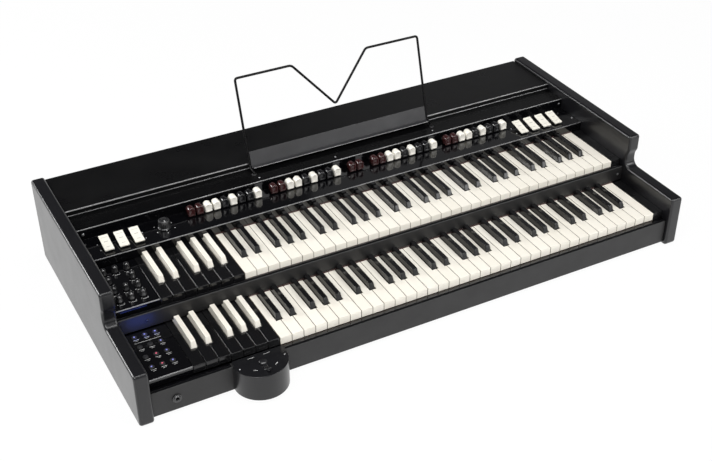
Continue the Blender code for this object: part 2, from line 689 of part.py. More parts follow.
def contact_board(name, y_front, z_floor):
    """Circuit board in the key frame, with the rubber contact strip that the keys press."""
    y = y_front + CONTACT_FROM_FRONT
    z = z_floor + FIT
    left = X_LEFT + PANEL_WIDTH + KEY_PITCH
    right = X_BLOCK - KEY_PITCH
    board = box(name, (left, y, z), (right, y + CONTACT_DEPTH, z + BOARD_SHEET), "board_green")
    strip = box(name + "_strip", (left + KEY_GAP, y + CONTACT_STRIP, z + BOARD_SHEET / 2),
                (right - KEY_GAP, y + 2 * CONTACT_STRIP, z + CONTACT_HEIGHT), "rubber")
    join(board, strip)


# Drawbars and tabs

def drawbar_groups():
    groups = [(slot, DRAWBARS_IN_SET) for slot in DRAWBAR_SETS]
    return groups + [(PEDAL_SLOT, PEDAL_DRAWBARS)]


def drawbar_x(slot):
    return X_LEFT + DRAWBAR_START + DRAWBAR_WIDTH / 2 + slot * DRAWBAR_PITCH


def knob_outline(x_middle, z_low):
    half = DRAWBAR_WIDTH / 2
    z_round = z_low + DRAWBAR_HEIGHT - DRAWBAR_ROUND
    inner = half - DRAWBAR_ROUND
    points = [(x_middle - half, z_low), (x_middle + half, z_low)]
    points += arc((x_middle + inner, z_round), DRAWBAR_ROUND, 0, 90, 3)
    points += arc((x_middle - inner, z_round), DRAWBAR_ROUND, 90, 180, 3)
    return points


def drawbars(name, slots, color):
    """One drawbar, or several on one carrier: knobs, stems and the carrier behind them."""
    y_knob = Y_LIP + DRAWBAR_FROM_LIP
    y_stem = Y_FASCIA + STEM_REACH
    z_knob = Z_FLOOR + DRAWBAR_LIFT
    z_stem = Z_FLOOR + SHELF_RISE + RUNNING
    origin = (drawbar_x(slots[0]), y_knob, z_knob)
    outlines = [knob_outline(drawbar_x(slot), z_knob) for slot in slots]
    knobs = extrude(name + "_knobs", outlines, y_knob, y_knob + DRAWBAR_DEPTH, color, "XZ", origin)
    shape = bmesh.new()
    for slot in slots:
        x = drawbar_x(slot)
        add_box(shape, (x - STEM_WIDTH / 2, y_knob + DRAWBAR_DEPTH / 2, z_stem),
                (x + STEM_WIDTH / 2, y_stem, z_stem + STEM_THICK))
    stems = mesh_object(name + "_stems", shape, color, origin)
    half = STEM_WIDTH / 2 if len(slots) == 1 else DRAWBAR_WIDTH / 2
    carrier = box(name, (drawbar_x(slots[0]) - half - KEY_GAP, y_stem - CARRIER_DEPTH, z_stem),
                  (drawbar_x(slots[-1]) + half + KEY_GAP, y_stem - KEY_GAP, z_stem + STEM_THICK + KEY_GAP),
                  color, origin)
    join(carrier, stems)
    join(carrier, knobs)


def all_drawbars():
    colors = ("brown", "brown", "white", "white", "knob", "white", "knob", "knob", "white")
    for number, color in enumerate(colors):
        drawbars(f"drawbar_{number + 1}", [DRAWBAR_SETS[0] + number], color)
    for number, start in enumerate(DRAWBAR_SETS[1:], start=2):
        drawbars(f"drawbar_set_{number}", [start + i for i in range(DRAWBARS_IN_SET)], "white")
    drawbars("pedal_drawbars", [PEDAL_SLOT + i for i in range(PEDAL_DRAWBARS)], "brown")


def tab_middles():
    lefts = [X_LEFT + LEFT_TAB_START + i * TAB_PITCH for i in range(LEFT_TABS)]
    rights = [X_RIGHT - RIGHT_TAB_START - i * TAB_PITCH for i in reversed(range(RIGHT_TABS))]
    return lefts + rights


def tabs():
    """Rocker tabs, each tilted about a pivot in the thickness of the drawbar floor."""
    y = Y_LIP + TAB_FROM_LIP
    z = Z_FLOOR - SHEET / 2
    half = TAB_LENGTH / 2
    stem_half = TAB_STEM / 2
    for number, middle in enumerate(tab_middles(), start=1):
        place = Matrix.Translation((middle, y, z)) @ Matrix.Rotation(TAB_TILT, 4, "X")
        tab = box(f"tab_{number}", (-TAB_WIDTH / 2, -half, TAB_RISE),
                  (TAB_WIDTH / 2, half, TAB_RISE + TAB_THICK), "ivory")
        stem = box("tab_stem", (-stem_half, -stem_half, -TAB_STEM_BELOW),
                   (stem_half, stem_half, TAB_RISE + OVERLAP), "ivory")
        tab.matrix_world = place
        stem.matrix_world = place
        join(tab, stem)


# Round controls

def knob_places():
    """Column, row and place of each knob on the knob panel."""
    places = []
    for row in range(KNOB_ROWS):
        for column in range(KNOB_COLUMNS):
            if (column, row) == MISSING_KNOB:
                continue
            x = X_LEFT + KNOB_AT[0] + column * KNOB_COLUMN_PITCH
            y = Y_UPPER + KNOB_AT[1] + row * KNOB_ROW_PITCH
            places.append(((column, row), x, y))
    return places


def button_places():
    return [(X_LEFT + BUTTON_AT[0] + column * BUTTON_COLUMN_PITCH,
             Y_LOWER + BUTTON_AT[1] + row * BUTTON_ROW_PITCH)
            for row in range(BUTTON_ROWS) for column in range(BUTTON_COLUMNS)]


def control_panel(name, y_front, y_end, z_seat, z_top):
    """Panel bent down at the front and the back, standing on the key frame."""
    outline = [(y_front, z_seat), (y_front + SHEET, z_seat), (y_front + SHEET, z_top - SHEET),
               (y_end - SHEET, z_top - SHEET), (y_end - SHEET, z_seat), (y_end, z_seat),
               (y_end, z_top), (y_front, z_top)]
    left = X_LEFT + FIT
    right = X_PRESETS - KEY_GAP / 2
    return extrude(name, [outline], left, right, "gloss", "YZ")


def knob_panel():
    z_floor = Z_SHELF + FRAME_SHEET
    z_top = Z_UPPER + KEY_THICK
    panel = control_panel("knob_panel", Y_UPPER + RUNNING, Y_LIP - FIT, z_floor + FIT, z_top)
    holes = bmesh.new()
    for place, x, y in knob_places():
        add_cylinder(holes, (x, y, z_top - CUT_PAST), 2 * CUT_PAST, SHAFT_RADIUS + FIT, SMALL_STEPS)
    cut(panel, mesh_object("knob_holes", holes, "gloss"))
    z_board = z_top - SHEET - POT_HEIGHT - FIT - BOARD_SHEET
    x_low = X_LEFT + KNOB_AT[0] - POT_SIZE
    x_high = x_low + (KNOB_COLUMNS - 1) * KNOB_COLUMN_PITCH + 2 * POT_SIZE
    y_low = Y_UPPER + KNOB_AT[1] - POT_SIZE
    y_high = y_low + (KNOB_ROWS - 1) * KNOB_ROW_PITCH + 2 * POT_SIZE
    board = box("knob_board", (x_low, y_low, z_board), (x_high, y_high, z_board + BOARD_SHEET), "knob")
    pots, shafts, caps = bmesh.new(), bmesh.new(), bmesh.new()
    z_knob = z_top + KNOB_LIFT
    half = POT_SIZE / 2
    for place, x, y in knob_places():
        top = z_board + BOARD_SHEET + POT_HEIGHT
        if place == VOLUME_KNOB:
            top -= VOLUME_POT_DROP
        add_box(pots, (x - half, y - half, z_board + BOARD_SHEET / 2), (x + half, y + half, top))
        if place == VOLUME_KNOB:
            z_shaft = top + FIT
            knob = cylinder("volume_knob", (x, y, z_knob), KNOB_HEIGHT, KNOB_RADIUS, "knob", SMALL_STEPS,
                            KNOB_TOP_RADIUS, origin=(x, y, z_knob))
            join(knob, cylinder("volume_shaft", (x, y, z_shaft), z_knob - z_shaft + OVERLAP, SHAFT_RADIUS,
                                "knob", SMALL_STEPS, origin=(x, y, z_knob)))
            continue
        add_cylinder(shafts, (x, y, top - OVERLAP), z_knob - top + 2 * OVERLAP, SHAFT_RADIUS, SMALL_STEPS)
        add_cylinder(caps, (x, y, z_knob), KNOB_HEIGHT, KNOB_RADIUS, SMALL_STEPS, KNOB_TOP_RADIUS)
    join(board, mesh_object("pots", pots, "knob"))
    join(board, mesh_object("shafts", shafts, "knob"))
    join(board, mesh_object("caps", caps, "knob"))


def button_panel():
    z_floor = Z_BOARD + FIT + FRAME_SHEET
    z_top = LOWER_KEY_TOP
    panel = control_panel("button_panel", Y_LOWER + RUNNING, Y_MID_RAIL - FIT, z_floor + FIT, z_top)
    holes, buttons = bmesh.new(), bmesh.new()
    z_mat = z_top - SHEET - RUNNING
    for x, y in button_places():
        add_cylinder(holes, (x, y, z_top - CUT_PAST), 2 * CUT_PAST, BUTTON_RADIUS + RUNNING, SMALL_STEPS)
        add_cylinder(buttons, (x, y, z_mat - OVERLAP), z_top + BUTTON_PROUD - z_mat + OVERLAP,
                     BUTTON_RADIUS, SMALL_STEPS)
    cut(panel, mesh_object("button_holes", holes, "gloss"))
    x, z = socket_place()
    cut(panel, cylinder("socket_clearance", (x, Y_LOWER - CUT_PAST, z), 2 * CUT_PAST,
                        SOCKET_BARREL + RUNNING, "gloss", SMALL_STEPS, axis="Y"))
    margin = BUTTON_RADIUS + MAT_MARGIN
    xs = [x for x, y in button_places()]
    ys = [y for x, y in button_places()]
    mat = box("button_mat", (min(xs) - margin, min(ys) - margin, z_mat - MAT_THICK),
              (max(xs) + margin, max(ys) + margin, z_mat), "rubber", (xs[0], ys[0], z_mat))
    join(mat, mesh_object("buttons", buttons, "rubber", (xs[0], ys[0], z_mat)))


def vibrato_knob():
    x, y = X_LEFT + VIBRATO_AT[0], Y_LIP + VIBRATO_AT[1]
    z = Z_FLOOR + KNOB_LIFT
    origin = (x, y, z)
    knob = cylinder("vibrato_knob", origin, VIBRATO_HEIGHT, VIBRATO_RADIUS, "knob", ROUND_STEPS,
                    VIBRATO_TOP_RADIUS, origin=origin)
    z_shaft = Z_FLOOR - SHEET - VIBRATO_SHAFT_BELOW
    shaft = cylinder("vibrato_shaft", (x, y, z_shaft), z + OVERLAP - z_shaft, SHAFT_RADIUS, "knob",
                     SMALL_STEPS, origin=origin)
    join(knob, shaft)
    pointer = box("vibrato_pointer", (x - POINTER_WIDTH / 2, y - VIBRATO_RADIUS - POINTER_PROUD, z + OVERLAP),
                  (x + POINTER_WIDTH / 2, y, z + VIBRATO_HEIGHT + OVERLAP), "knob", origin)
    join(knob, pointer)


# Half-moon switch and headphone socket

def half_moon_outline(radius, y_cut):
    """The part of a round plan that lies in front of y_cut, from its right end round to its left."""
    x = X_LEFT + HALF_MOON_AT
    y = Y_FRONT - HALF_MOON_REACH + HALF_MOON_RADIUS
    angle = math.degrees(math.asin((y_cut - y) / radius))
    return arc((x, y), radius, angle, -180 - angle, ROUND_STEPS)


def half_moon():
    x = X_LEFT + HALF_MOON_AT
    z_low = BASE_GAP + FIT
    z_plate = Z_RAIL_TOP + FIT
    z_top = z_plate + HALF_MOON_OVER_RAIL
    y_cut = Y_RAIL - FIT
    body = extrude("half_moon_housing", [half_moon_outline(HALF_MOON_RADIUS, y_cut)], z_low, z_top,
                   "cheek", "XY")
    inner = half_moon_outline(HALF_MOON_RADIUS - HALF_MOON_WALL, y_cut + FIT)
    cut(body, extrude("half_moon_hollow", [inner], z_low + HALF_MOON_WALL, z_top - HALF_MOON_WALL,
                      "cheek", "XY"))
    join(body, box("half_moon_tongue", (x - TONGUE_WIDTH / 2, y_cut - HALF_MOON_WALL, z_plate),
                   (x + TONGUE_WIDTH / 2, Y_RAIL + RAIL_THICK, z_top), "cheek"))
    y = Y_FRONT - HALF_MOON_REACH + LEVER_FROM_FRONT
    cut(body, cylinder("lever_hole", (x, y, z_top - CUT_PAST), 2 * CUT_PAST, SHAFT_RADIUS + FIT, "cheek",
                       SMALL_STEPS))
    z_lever = z_top + RUNNING
    origin = (x, y, z_lever)
    lever = cylinder("half_moon_lever", (x, y, z_lever), LEVER_HUB_THICK, LEVER_HUB, "knob", ROUND_STEPS,
                     origin=origin)
    z_shaft = z_top - HALF_MOON_WALL - LEVER_SHAFT_BELOW
    join(lever, cylinder("lever_shaft", (x, y, z_shaft), z_lever + OVERLAP - z_shaft, SHAFT_RADIUS, "knob",
                         SMALL_STEPS, origin=origin))
    half = LEVER_WIDTH / 2
    y_tip = y - LEVER_LENGTH
    z_arm = z_lever + FIT
    arm = [(y, z_arm), (y, z_lever + LEVER_THICK), (y_tip + LEVER_SLOPE, z_lever + LEVER_THICK),
           (y_tip, z_lever + LEVER_GRIP), (y_tip - LEVER_THICK, z_lever + LEVER_GRIP), (y_tip, z_arm)]
    join(lever, extrude("lever_arm", [arm], x - half, x + half, "knob", "YZ", origin))


def socket_place():
    return X_LEFT + SOCKET_AT[0], BASE_GAP + SOCKET_AT[1]


def headphone_socket():
    x, z = socket_place()
    y = Y_RAIL - FIT
    socket = cylinder("headphone_socket", (x, y - SOCKET_FLANGE_THICK, z), SOCKET_FLANGE_THICK,
                      SOCKET_FLANGE, "knob", ROUND_STEPS, axis="Y")
    join(socket, cylinder("socket_barrel", (x, y - OVERLAP, z), SOCKET_DEPTH, SOCKET_BARREL, "knob",
                          SMALL_STEPS, axis="Y"))
    cut(socket, cylinder("socket_bore", (x, y - CUT_PAST, z), CUT_PAST + SOCKET_BORE_DEPTH, SOCKET_BORE,
                         "knob", SMALL_STEPS, axis="Y"))


# Music stand

def stand_feet():
    middle = X_LEFT + STAND_MIDDLE
    return middle - STAND_HALF_WIDTH, middle + STAND_HALF_WIDTH


def stand_point(x, along):
    """A point of the stand's tilted plane, along it from the bend at its foot."""
    y = Y_FASCIA + FOOT_FROM_FASCIA + LEG_BACK + along * math.sin(STAND_TILT)
    z = Z_CAP + CAP_THICK + LEG_RISE + along * math.cos(STAND_TILT)
    return Vector((x, y, z))


def rounded(points, radius):
    """The points of a polyline with each inner corner turned into a short bend."""
    path = [points[0]]
    for before, corner, after in zip(points, points[1:], points[2:]):
        towards = (before - corner).normalized()
        away = (after - corner).normalized()
        reach = min(radius, (before - corner).length / 2.5, (after - corner).length / 2.5)
        start = corner + towards * reach
        end = corner + away * reach
        path += [start, start.lerp(corner, 0.5).lerp(corner.lerp(end, 0.5), 0.5), end]
    return path + [points[-1]]


def music_stand():
    left, right = stand_feet()
    middle = (left + right) / 2
    y_foot = Y_FASCIA + FOOT_FROM_FASCIA
    z_strip = Z_CAP + CAP_THICK
    side = [Vector((left, y_foot, z_strip - FOOT_DEPTH)), Vector((left, y_foot, z_strip + WIRE_RADIUS)),
            stand_point(left, 0.0), stand_point(left, STAND_HEIGHT),
            stand_point(middle - STAND_NOTCH_HALF, STAND_HEIGHT)]
    other = [Vector((2 * middle - p.x, p.y, p.z)) for p in reversed(side)]
    path = rounded(side + [stand_point(middle, STAND_NOTCH_BOTTOM)] + other, STAND_BEND)
    curve = bpy.data.curves.new("music_stand_wire", "CURVE")
    curve.dimensions = "3D"
    curve.bevel_depth = WIRE_RADIUS
    curve.bevel_resolution = 2
    curve.use_fill_caps = True
    spline = curve.splines.new("POLY")
    spline.points.add(len(path) - 1)
    for point, place in zip(spline.points, path):
        point.co = (*place, 1.0)
    origin = (left, y_foot, z_strip)
    curve_to_mesh(add_object("music_stand_wire", curve, "wire"), origin)
    foot, top = stand_point(left, 0.0), stand_point(left, PLATE_HEIGHT)
    across = Vector((0.0, -math.cos(STAND_TILT), math.sin(STAND_TILT))) * PLATE_THICK
    ledge = (foot.y - PLATE_LEDGE, foot.z)
    outline = [(foot.y, foot.z), (top.y, top.z), (top.y + across.y, top.z + across.z),
               (foot.y - PLATE_THICK, foot.z + PLATE_THICK), (ledge[0], ledge[1] + PLATE_THICK), ledge]
    x_low = left + WIRE_RADIUS + FIT
    x_high = right - WIRE_RADIUS - FIT
    extrude("music_stand_shelf", [outline], x_low, x_high, "wire", "YZ", origin)


# Rear and inside

def rear_windows():
    """Middle, width and height of each window in the back panel."""
    return ((X_LEFT + CONNECTOR_AT, CONNECTOR_WIDTH, CONNECTOR_HEIGHT),
            (X_LEFT + INLET_AT, INLET_WIDTH, INLET_HEIGHT),
            (X_LEFT + SWITCH_AT, SWITCH_WIDTH, INLET_HEIGHT))


def rear_panel():
    z = Z_BOARD + CONNECTOR_LIFT
    y_face = Y_BACK - BACK_THICK / 2
    (x, width, height), (x_inlet, inlet_width, inlet_height), (x_switch, switch_width, _) = rear_windows()
    plate = box("connector_plate", (x - width / 2, y_face - SHEET, z - height / 2),
                (x + width / 2, y_face, z + height / 2), "steel")
    sockets, bores = bmesh.new(), bmesh.new()
    for number in range(JACK_COUNT):
        jack = x + (number - (JACK_COUNT - 1) / 2) * JACK_PITCH
        y_socket = y_face - SHEET - JACK_DEPTH
        add_cylinder(sockets, (jack, y_socket, z), JACK_DEPTH + SHEET + JACK_PROUD, JACK_RADIUS,
                     SMALL_STEPS, axis="Y")
        add_cylinder(bores, (jack, y_socket + JACK_FLOOR, z), JACK_DEPTH + SHEET + CUT_PAST, JACK_BORE,
                     BORE_STEPS, axis="Y")
    join(plate, mesh_object("jack_sockets", sockets, "steel"))
    cut(plate, mesh_object("jack_bores", bores, "steel"))
    half_width = inlet_width / 2
    half_height = inlet_height / 2
    inlet = box("power_inlet", (x_inlet - half_width, y_face - INLET_DEPTH, z - half_height),
                (x_inlet + half_width, y_face, z + half_height), "knob")
    y_hollow = y_face - INLET_HOLLOW_DEPTH
    cut(inlet, box("inlet_hollow", (x_inlet - half_width + SHEET, y_hollow, z - half_height + SHEET),
                   (x_inlet + half_width - SHEET, y_face + CUT_PAST, z + half_height - SHEET), "knob"))
    pins = bmesh.new()
    for step in (-1, 0, 1):
        x_pin = x_inlet + step * PIN_PITCH
        add_box(pins, (x_pin - PIN_WIDTH / 2, y_hollow - OVERLAP, z - PIN_HEIGHT / 2),
                (x_pin + PIN_WIDTH / 2, y_face - PIN_SETBACK, z + PIN_HEIGHT / 2))
    join(inlet, mesh_object("inlet_pins", pins, "knob"))
    power_switch(x_switch, switch_width, y_face, z)


def power_switch(x, width, y_face, z):
    """Rocker in the back panel: two shallow faces that meet over its pivot."""
    half = width / 2 - RUNNING
    height = SWITCH_HEIGHT / 2
    lean = height * math.tan(SWITCH_TILT / 2)
    outline = [(-SWITCH_EDGE, -height), (0.0, -height), (-lean, 0.0), (0.0, height),
               (-SWITCH_EDGE, height), (-SWITCH_DEPTH, 0.0)]
    origin = (x, y_face, z)
    points = [(y_face + a, z + b) for a, b in outline]
    extrude("power_switch", [points], x - half, x + half, "knob", "YZ", origin)


def electronics():
    y_low = Y_LOWER_HINGE + RUNNING + FRAME_WALL + BOARD_BEHIND_FRAME
    x = X_LEFT + MAIN_BOARD_AT
    z = Z_BOARD + FIT
    width, depth = MAIN_BOARD
    board = box("main_board", (x - width / 2, y_low, z + STANDOFF),
                (x + width / 2, y_low + depth, z + STANDOFF + BOARD_SHEET), "board_green")
    feet, chips = bmesh.new(), bmesh.new()
    y_middle = y_low + depth / 2
    z_board = z + STANDOFF + BOARD_SHEET / 2
    for side in (-1, 1):
        x_foot = x + side * (width / 2 - STANDOFF_INSET)
        for y_foot in (y_low + STANDOFF_INSET, y_low + depth - STANDOFF_INSET):
            add_cylinder(feet, (x_foot, y_foot, z), z_board - z, SHAFT_RADIUS, SMALL_STEPS)
        x_chip = x + side * CHIPS_APART / 2
        add_box(chips, (x_chip - CHIP_SIZE / 2, y_middle - CHIP_SIZE / 2, z_board),
                (x_chip + CHIP_SIZE / 2, y_middle + CHIP_SIZE / 2, z_board + BOARD_SHEET / 2 + CHIP_HEIGHT))
    join(board, mesh_object("standoffs", feet, "board_green"))
    join(board, mesh_object("chips", chips, "board_green"))
    width, depth, height = SUPPLY
    x = X_LEFT + SUPPLY_AT
    y_high = Y_BACK - SUPPLY_BEFORE_BACK
    box("power_supply", (x - width / 2, y_high - depth, z), (x + width / 2, y_high, z + height), "steel")


clear_scene()
parts = collection("drawbar_organ")
cutters = collection("cutters")
casework()
drawbar_panel()
key_frames()
manual("lower", Y_LOWER, Z_LOWER, LOWER_VISIBLE, 0)
manual("upper", Y_UPPER, Z_UPPER, UPPER_VISIBLE, SINGLE_KEY_COUNT)
single_keys()
all_drawbars()
tabs()
knob_panel()
button_panel()
vibrato_knob()
half_moon()
headphone_socket()
music_stand()
rear_panel()
electronics()
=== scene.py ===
"""Looks of the drawbar organ: finishes, moulded parts, small fittings, lights and camera.

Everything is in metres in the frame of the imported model. +X is the player's right, +Y points away
from the player and +Z is up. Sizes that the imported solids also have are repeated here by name.
"""
import math

import bmesh
import bpy
from mathutils import Matrix, Vector

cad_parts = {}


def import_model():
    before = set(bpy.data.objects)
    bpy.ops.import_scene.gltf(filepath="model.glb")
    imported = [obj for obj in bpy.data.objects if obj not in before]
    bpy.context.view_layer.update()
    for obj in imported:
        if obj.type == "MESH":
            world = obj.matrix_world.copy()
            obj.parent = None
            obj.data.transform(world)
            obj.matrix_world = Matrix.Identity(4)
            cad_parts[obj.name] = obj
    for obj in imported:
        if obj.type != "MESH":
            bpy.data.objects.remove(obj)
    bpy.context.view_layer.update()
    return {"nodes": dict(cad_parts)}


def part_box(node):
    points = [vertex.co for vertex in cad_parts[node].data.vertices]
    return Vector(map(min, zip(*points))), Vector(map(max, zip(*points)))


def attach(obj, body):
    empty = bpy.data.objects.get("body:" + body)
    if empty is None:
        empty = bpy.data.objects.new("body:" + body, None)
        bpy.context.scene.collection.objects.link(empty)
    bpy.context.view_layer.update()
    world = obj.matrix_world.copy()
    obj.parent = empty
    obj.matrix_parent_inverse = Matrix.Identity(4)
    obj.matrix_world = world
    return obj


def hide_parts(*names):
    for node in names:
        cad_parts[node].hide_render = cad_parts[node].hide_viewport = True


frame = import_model()

# Levels and places of the casework
X_LEFT, X_RIGHT = -0.56, 0.56  # inner faces of the cheeks
Y_RAIL = -0.25925  # front rail's face
Y_LOWER = -0.24545  # fronts of the lower keys
Y_MID_RAIL = -0.10825  # mid rail's face
Y_UPPER = -0.09795  # fronts of the upper keys
Y_LIP = 0.04475  # drawbar panel's front lip
Y_FASCIA = 0.12025  # drawbar panel's upright face
Y_LID = 0.17625  # lid's front edge
Y_BACK = 0.31325  # back panel's rear face
Z_LOWER_KEY_TOP = 0.0757  # also the button panel's top
Z_UPPER_KEY_TOP = 0.1232  # also the knob panel's top
Z_FLOOR = 0.1425  # top of the floor under the drawbars
Z_STRIP = 0.165  # top of the cap strip
Z_LID_TOP = 0.1765
SHEET = 0.003  # thickness of the sheet panels
BOARD_SHEET = 0.0016  # thickness of a circuit board

# Rounded edges, and pale edge beads that are painted highlights
EDGE_ANGLE = math.radians(32.0)  # edges that turn further than this are rounded
FLAT_ANGLE = math.radians(0.4)  # neighbouring faces within this count as one
WELD_REACH = 0.00002
NORMAL_WEIGHT = 100  # pull of the large faces on the shading
CHEEK_ROUND = 0.005
CHEEK_ROUND_STEPS, ROUND_STEPS = 4, 2  # segments of the rounding
BEAD_TURN, BEAD_STEPS = 330, 11  # degrees to the last point of a bead's outline, and its steps
BEAD_INSET = 0.75  # share of a bead's radius by which it lies inside its panel
BEAD_GAP = 0.0006  # from a bead's end to the end of its panel
SHEET_BEAD = 0.0011  # radii of the beads
PANEL_BEAD = 0.0013
LID_BEAD = 0.0014
LID_FOOT_BEAD = 0.0009
LID_FOOT_RISE = 0.001  # bead under the lid, above the cap strip

# Keys, with the finish and edge rounding of each bank
KEY_PITCH = 0.0235
X_MAIN = -0.3105  # left end of the main keys
X_BLOCK = 0.5355  # right end of the main keys
KEY_BANKS = {"naturals": ("ivory", 0.0006), "sharps": ("ebony", 0.0014),
             "preset_naturals": ("ebony", 0.0012), "preset_sharps": ("ivory_sharp", 0.0014)}
SINGLE_KEYS = (("upper_last_c_key", "naturals"), ("upper_last_b_key", "naturals"),
               ("upper_last_a_sharp_key", "sharps"))
KEY_ROUND_STEPS = 3
SHADED_FLANK = (0.3, 0.85)  # sideways share of a face's normal where the painted shade on the keys' flanks starts and is full
KEY_CLOUD = 24.0
KEY_GRAIN = (2400.0, 90.0, 900.0)
KEY_GRAIN_STRENGTH = 0.25

# Felts, slips, and black strips of painted shade before the slips
FELT_EDGE = 0.0002  # rounding of the felts
LOWER_FELT_Z, UPPER_FELT_Z = 0.058, 0.11
# Reach along Y from the key fronts or from the panel over the keys, and upwards
FRONT_FELT = ((-0.0012, -0.0004), (-0.006, 0.0006))
REAR_FELT = ((-0.001, -0.0001), (0.0002, 0.0026))
SLIP_THICK = 0.0004
SLIP_SINK = 0.0002
SLIP_EDGE = 0.0001
SLIP_END_GAP = 0.0005
SLIP_BACK_GAP = 0.0004
SLIP_SWITCH_GAP = 0.001  # beside the half-moon switch
SLIP_SHADE_STRIP = (0.0014, 0.005)  # black strip of painted shade before each slip: its distance from the rail's face and its depth

# Drawbars
DRAWBAR_X = -0.3357  # middle of the first knob
DRAWBAR_PITCH = 0.01765
DRAWBAR_HALF = 0.0073
DRAWBAR_HEIGHT = 0.0185
DRAWBAR_DEPTH = 0.0155
DRAWBAR_ROUND = 0.0065
DRAWBAR_CHAMFER = 0.0008  # at the knob's foot
DRAWBAR_ARC_STEPS = 6
DRAWBAR_Y = Y_LIP + 0.0495
DRAWBAR_Z = Z_FLOOR + 0.0018
# Dished front and rounded rear: distance behind the front or rear face, and how far the outline shrinks
DRAWBAR_FRONT = ((0.0011, 0.0046), (0.0006, 0.003), (0.0, 0.0016), (0.0004, 0.0006), (0.0017, 0.0))
DRAWBAR_REAR = ((-0.0012, 0.0), (-0.0003, 0.0004), (0.0, 0.0012))
STEM_HALF = 0.004
STEM_THICK = 0.004
STEM_Z = Z_FLOOR + 0.0036
STEM_END = Y_FASCIA + 0.08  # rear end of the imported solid
STEM_REACH = 0.002  # into the knob
STEM_SHORT = 0.0012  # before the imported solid's end
STEM_EDGE = 0.0004
CARRIER_DEPTH = 0.012
CARRIER_SHORT = 0.0015
CARRIER_FOOT = 0.0002  # above the stems' undersides
CARRIER_RISE = 0.0005  # above the stems' tops
SET_STARTS = {2: 10, 3: 23, 4: 33}
PEDAL_START = 20
SET_COLORS = ("brown", "brown", "white", "white", "black", "white", "black", "black", "white")
PEDAL_COLORS = ("brown", "brown")

# Rocker tabs
TAB_X = (-0.5131, -0.4835, -0.4539, 0.4202, 0.4498, 0.4794, 0.509)
TAB_Y = Y_LIP + 0.036
TAB_Z = Z_FLOOR - SHEET / 2  # pivot
TAB_WIDTH = 0.0185
TAB_LENGTH = 0.041
TAB_THICK = 0.0035
TAB_RISE = 0.0085  # pivot to the tab's underside
TAB_DISH = 0.0007
TAB_DISH_STEPS = 8
TAB_EDGE = 0.0008
TAB_EDGE_STEPS = 3
TAB_TILT = math.radians(12.0)
TAB_PRINTS = ((0.0135, 0.012, 0.0008), (0.002, 0.008, 0.0016), (-0.012, 0.007, 0.0012))  # along, size
TAB_STEM = 0.005
TAB_STEM_FOOT = 0.002  # below the pivot
TAB_STEM_REACH = 0.0005  # into the tab
TAB_STEM_EDGE = 0.0003

# Small knobs on their potentiometers
COLUMNS, ROWS = 3, 4  # of the knobs and of the lit buttons
KNOB_FIRST = (X_LEFT + 0.0185, Y_UPPER + 0.027)
KNOB_PITCH = (0.0222, 0.0305)
MISSING_KNOB = (1, 2)  # column and row
VOLUME_KNOB = (0, 3)
KNOB_RADIUS = 0.0062
KNOB_HEIGHT = 0.0125
KNOB_LIFT = 0.0006  # above the panel
KNOB_SKIRT = ((0.0005, 0.0), (0.0, 0.0006), (0.0, 0.0018), (0.0005, 0.0024))  # inset and height
KNOB_NECK = 0.0008  # inset of the cap above its skirt
KNOB_RIM = 0.0022  # rounding round a knob's top
KNOB_RIM_STEPS = 7
KNOB_CROWN = ((0.0022, 0.0003), (0.0004, 0.0004))  # radius and depth below the top
POT_SIZE = 0.0095
POT_HEIGHT = 0.0065
POT_GAP = 0.0003  # between a potentiometer and the panel
POT_FOOT = 0.001  # above the board's underside
FIXED_POT = (0.0034, 0.004)  # top of the body and foot of the shaft, below the panel's top
VOLUME_POT = (0.0055, 0.0052)
SHAFT_RADIUS = 0.003
SHAFT_STEPS = 16
SHAFT_REACH = 0.0005  # into the knob

# Vibrato knob
VIBRATO_AT = (X_LEFT + 0.164, Y_LIP + 0.0425)
VIBRATO_RADIUS = 0.0132
VIBRATO_TOP_RADIUS = 0.011
VIBRATO_HEIGHT = 0.0175
VIBRATO_SKIRT = ((0.0004, 0.0), (0.0, 0.0005), (0.0, 0.0018), (0.0012, 0.0026))  # inset and height
VIBRATO_WAIST = 0.0004  # how far the side is hollowed, at a share of the height
VIBRATO_WAIST_RISE = 0.6
VIBRATO_RIM = ((0.0, 0.0016), (0.0005, 0.0006), (0.0013, 0.0))  # inset and depth below the top
VIBRATO_DISH = ((0.008, 0.0001), (0.0068, 0.001), (0.003, 0.0013), (0.001, 0.0013))  # radius and depth
# Pointers: half width, start and end behind the rim's front, foot and top from the skirt's foot or the top
SKIRT_POINTER = (0.0006, -0.0015, 0.0008, 0.0004, 0.0016)
TOP_POINTER = (0.0005, 0.0012, 0.008, -0.0014, 0.0001)
VIBRATO_SHAFT_FOOT = 0.007  # below the floor's top
VIBRATO_FLUTES = 18
VIBRATO_DOTS = 0.0202  # radius of the ring of printed dots
VIBRATO_POSITIONS = 6
FLUTE_DEPTH = 0.0007
FLUTE_FADE = 0.004  # radius within which the flutes fade out
LEAST_RADIUS = 0.0001

# Lit buttons on their mat
BUTTON_FIRST = (X_LEFT + 0.0219, Y_LOWER + 0.0338)
BUTTON_PITCH = (0.0194, 0.03)
BUTTON_RADIUS = 0.0052
BUTTON_PROUD = 0.0014
BUTTON_CROWN = ((0.0, 0.0007), (0.0003, 0.0002), (0.0009, 0.0))  # inset and depth below the top
BUTTON_HOLLOW = 0.0002  # under the lens
LENS_RADIUS = 0.0016
LENS_CROWN = ((1.0, -0.0006), (1.0, 0.0001), (0.7, 0.0003), (0.25, 0.0004))  # share of radius, height
MAT_THICK = 0.002
MAT_GAP = 0.0005  # between the mat and the panel, and the buttons' reach into the mat
MAT_MARGIN = 0.0082
BUTTON_LIGHTS = ("blue", "red", "blue", "off", "red", "blue", "off", "off", "blue", "blue", "blue", "blue")

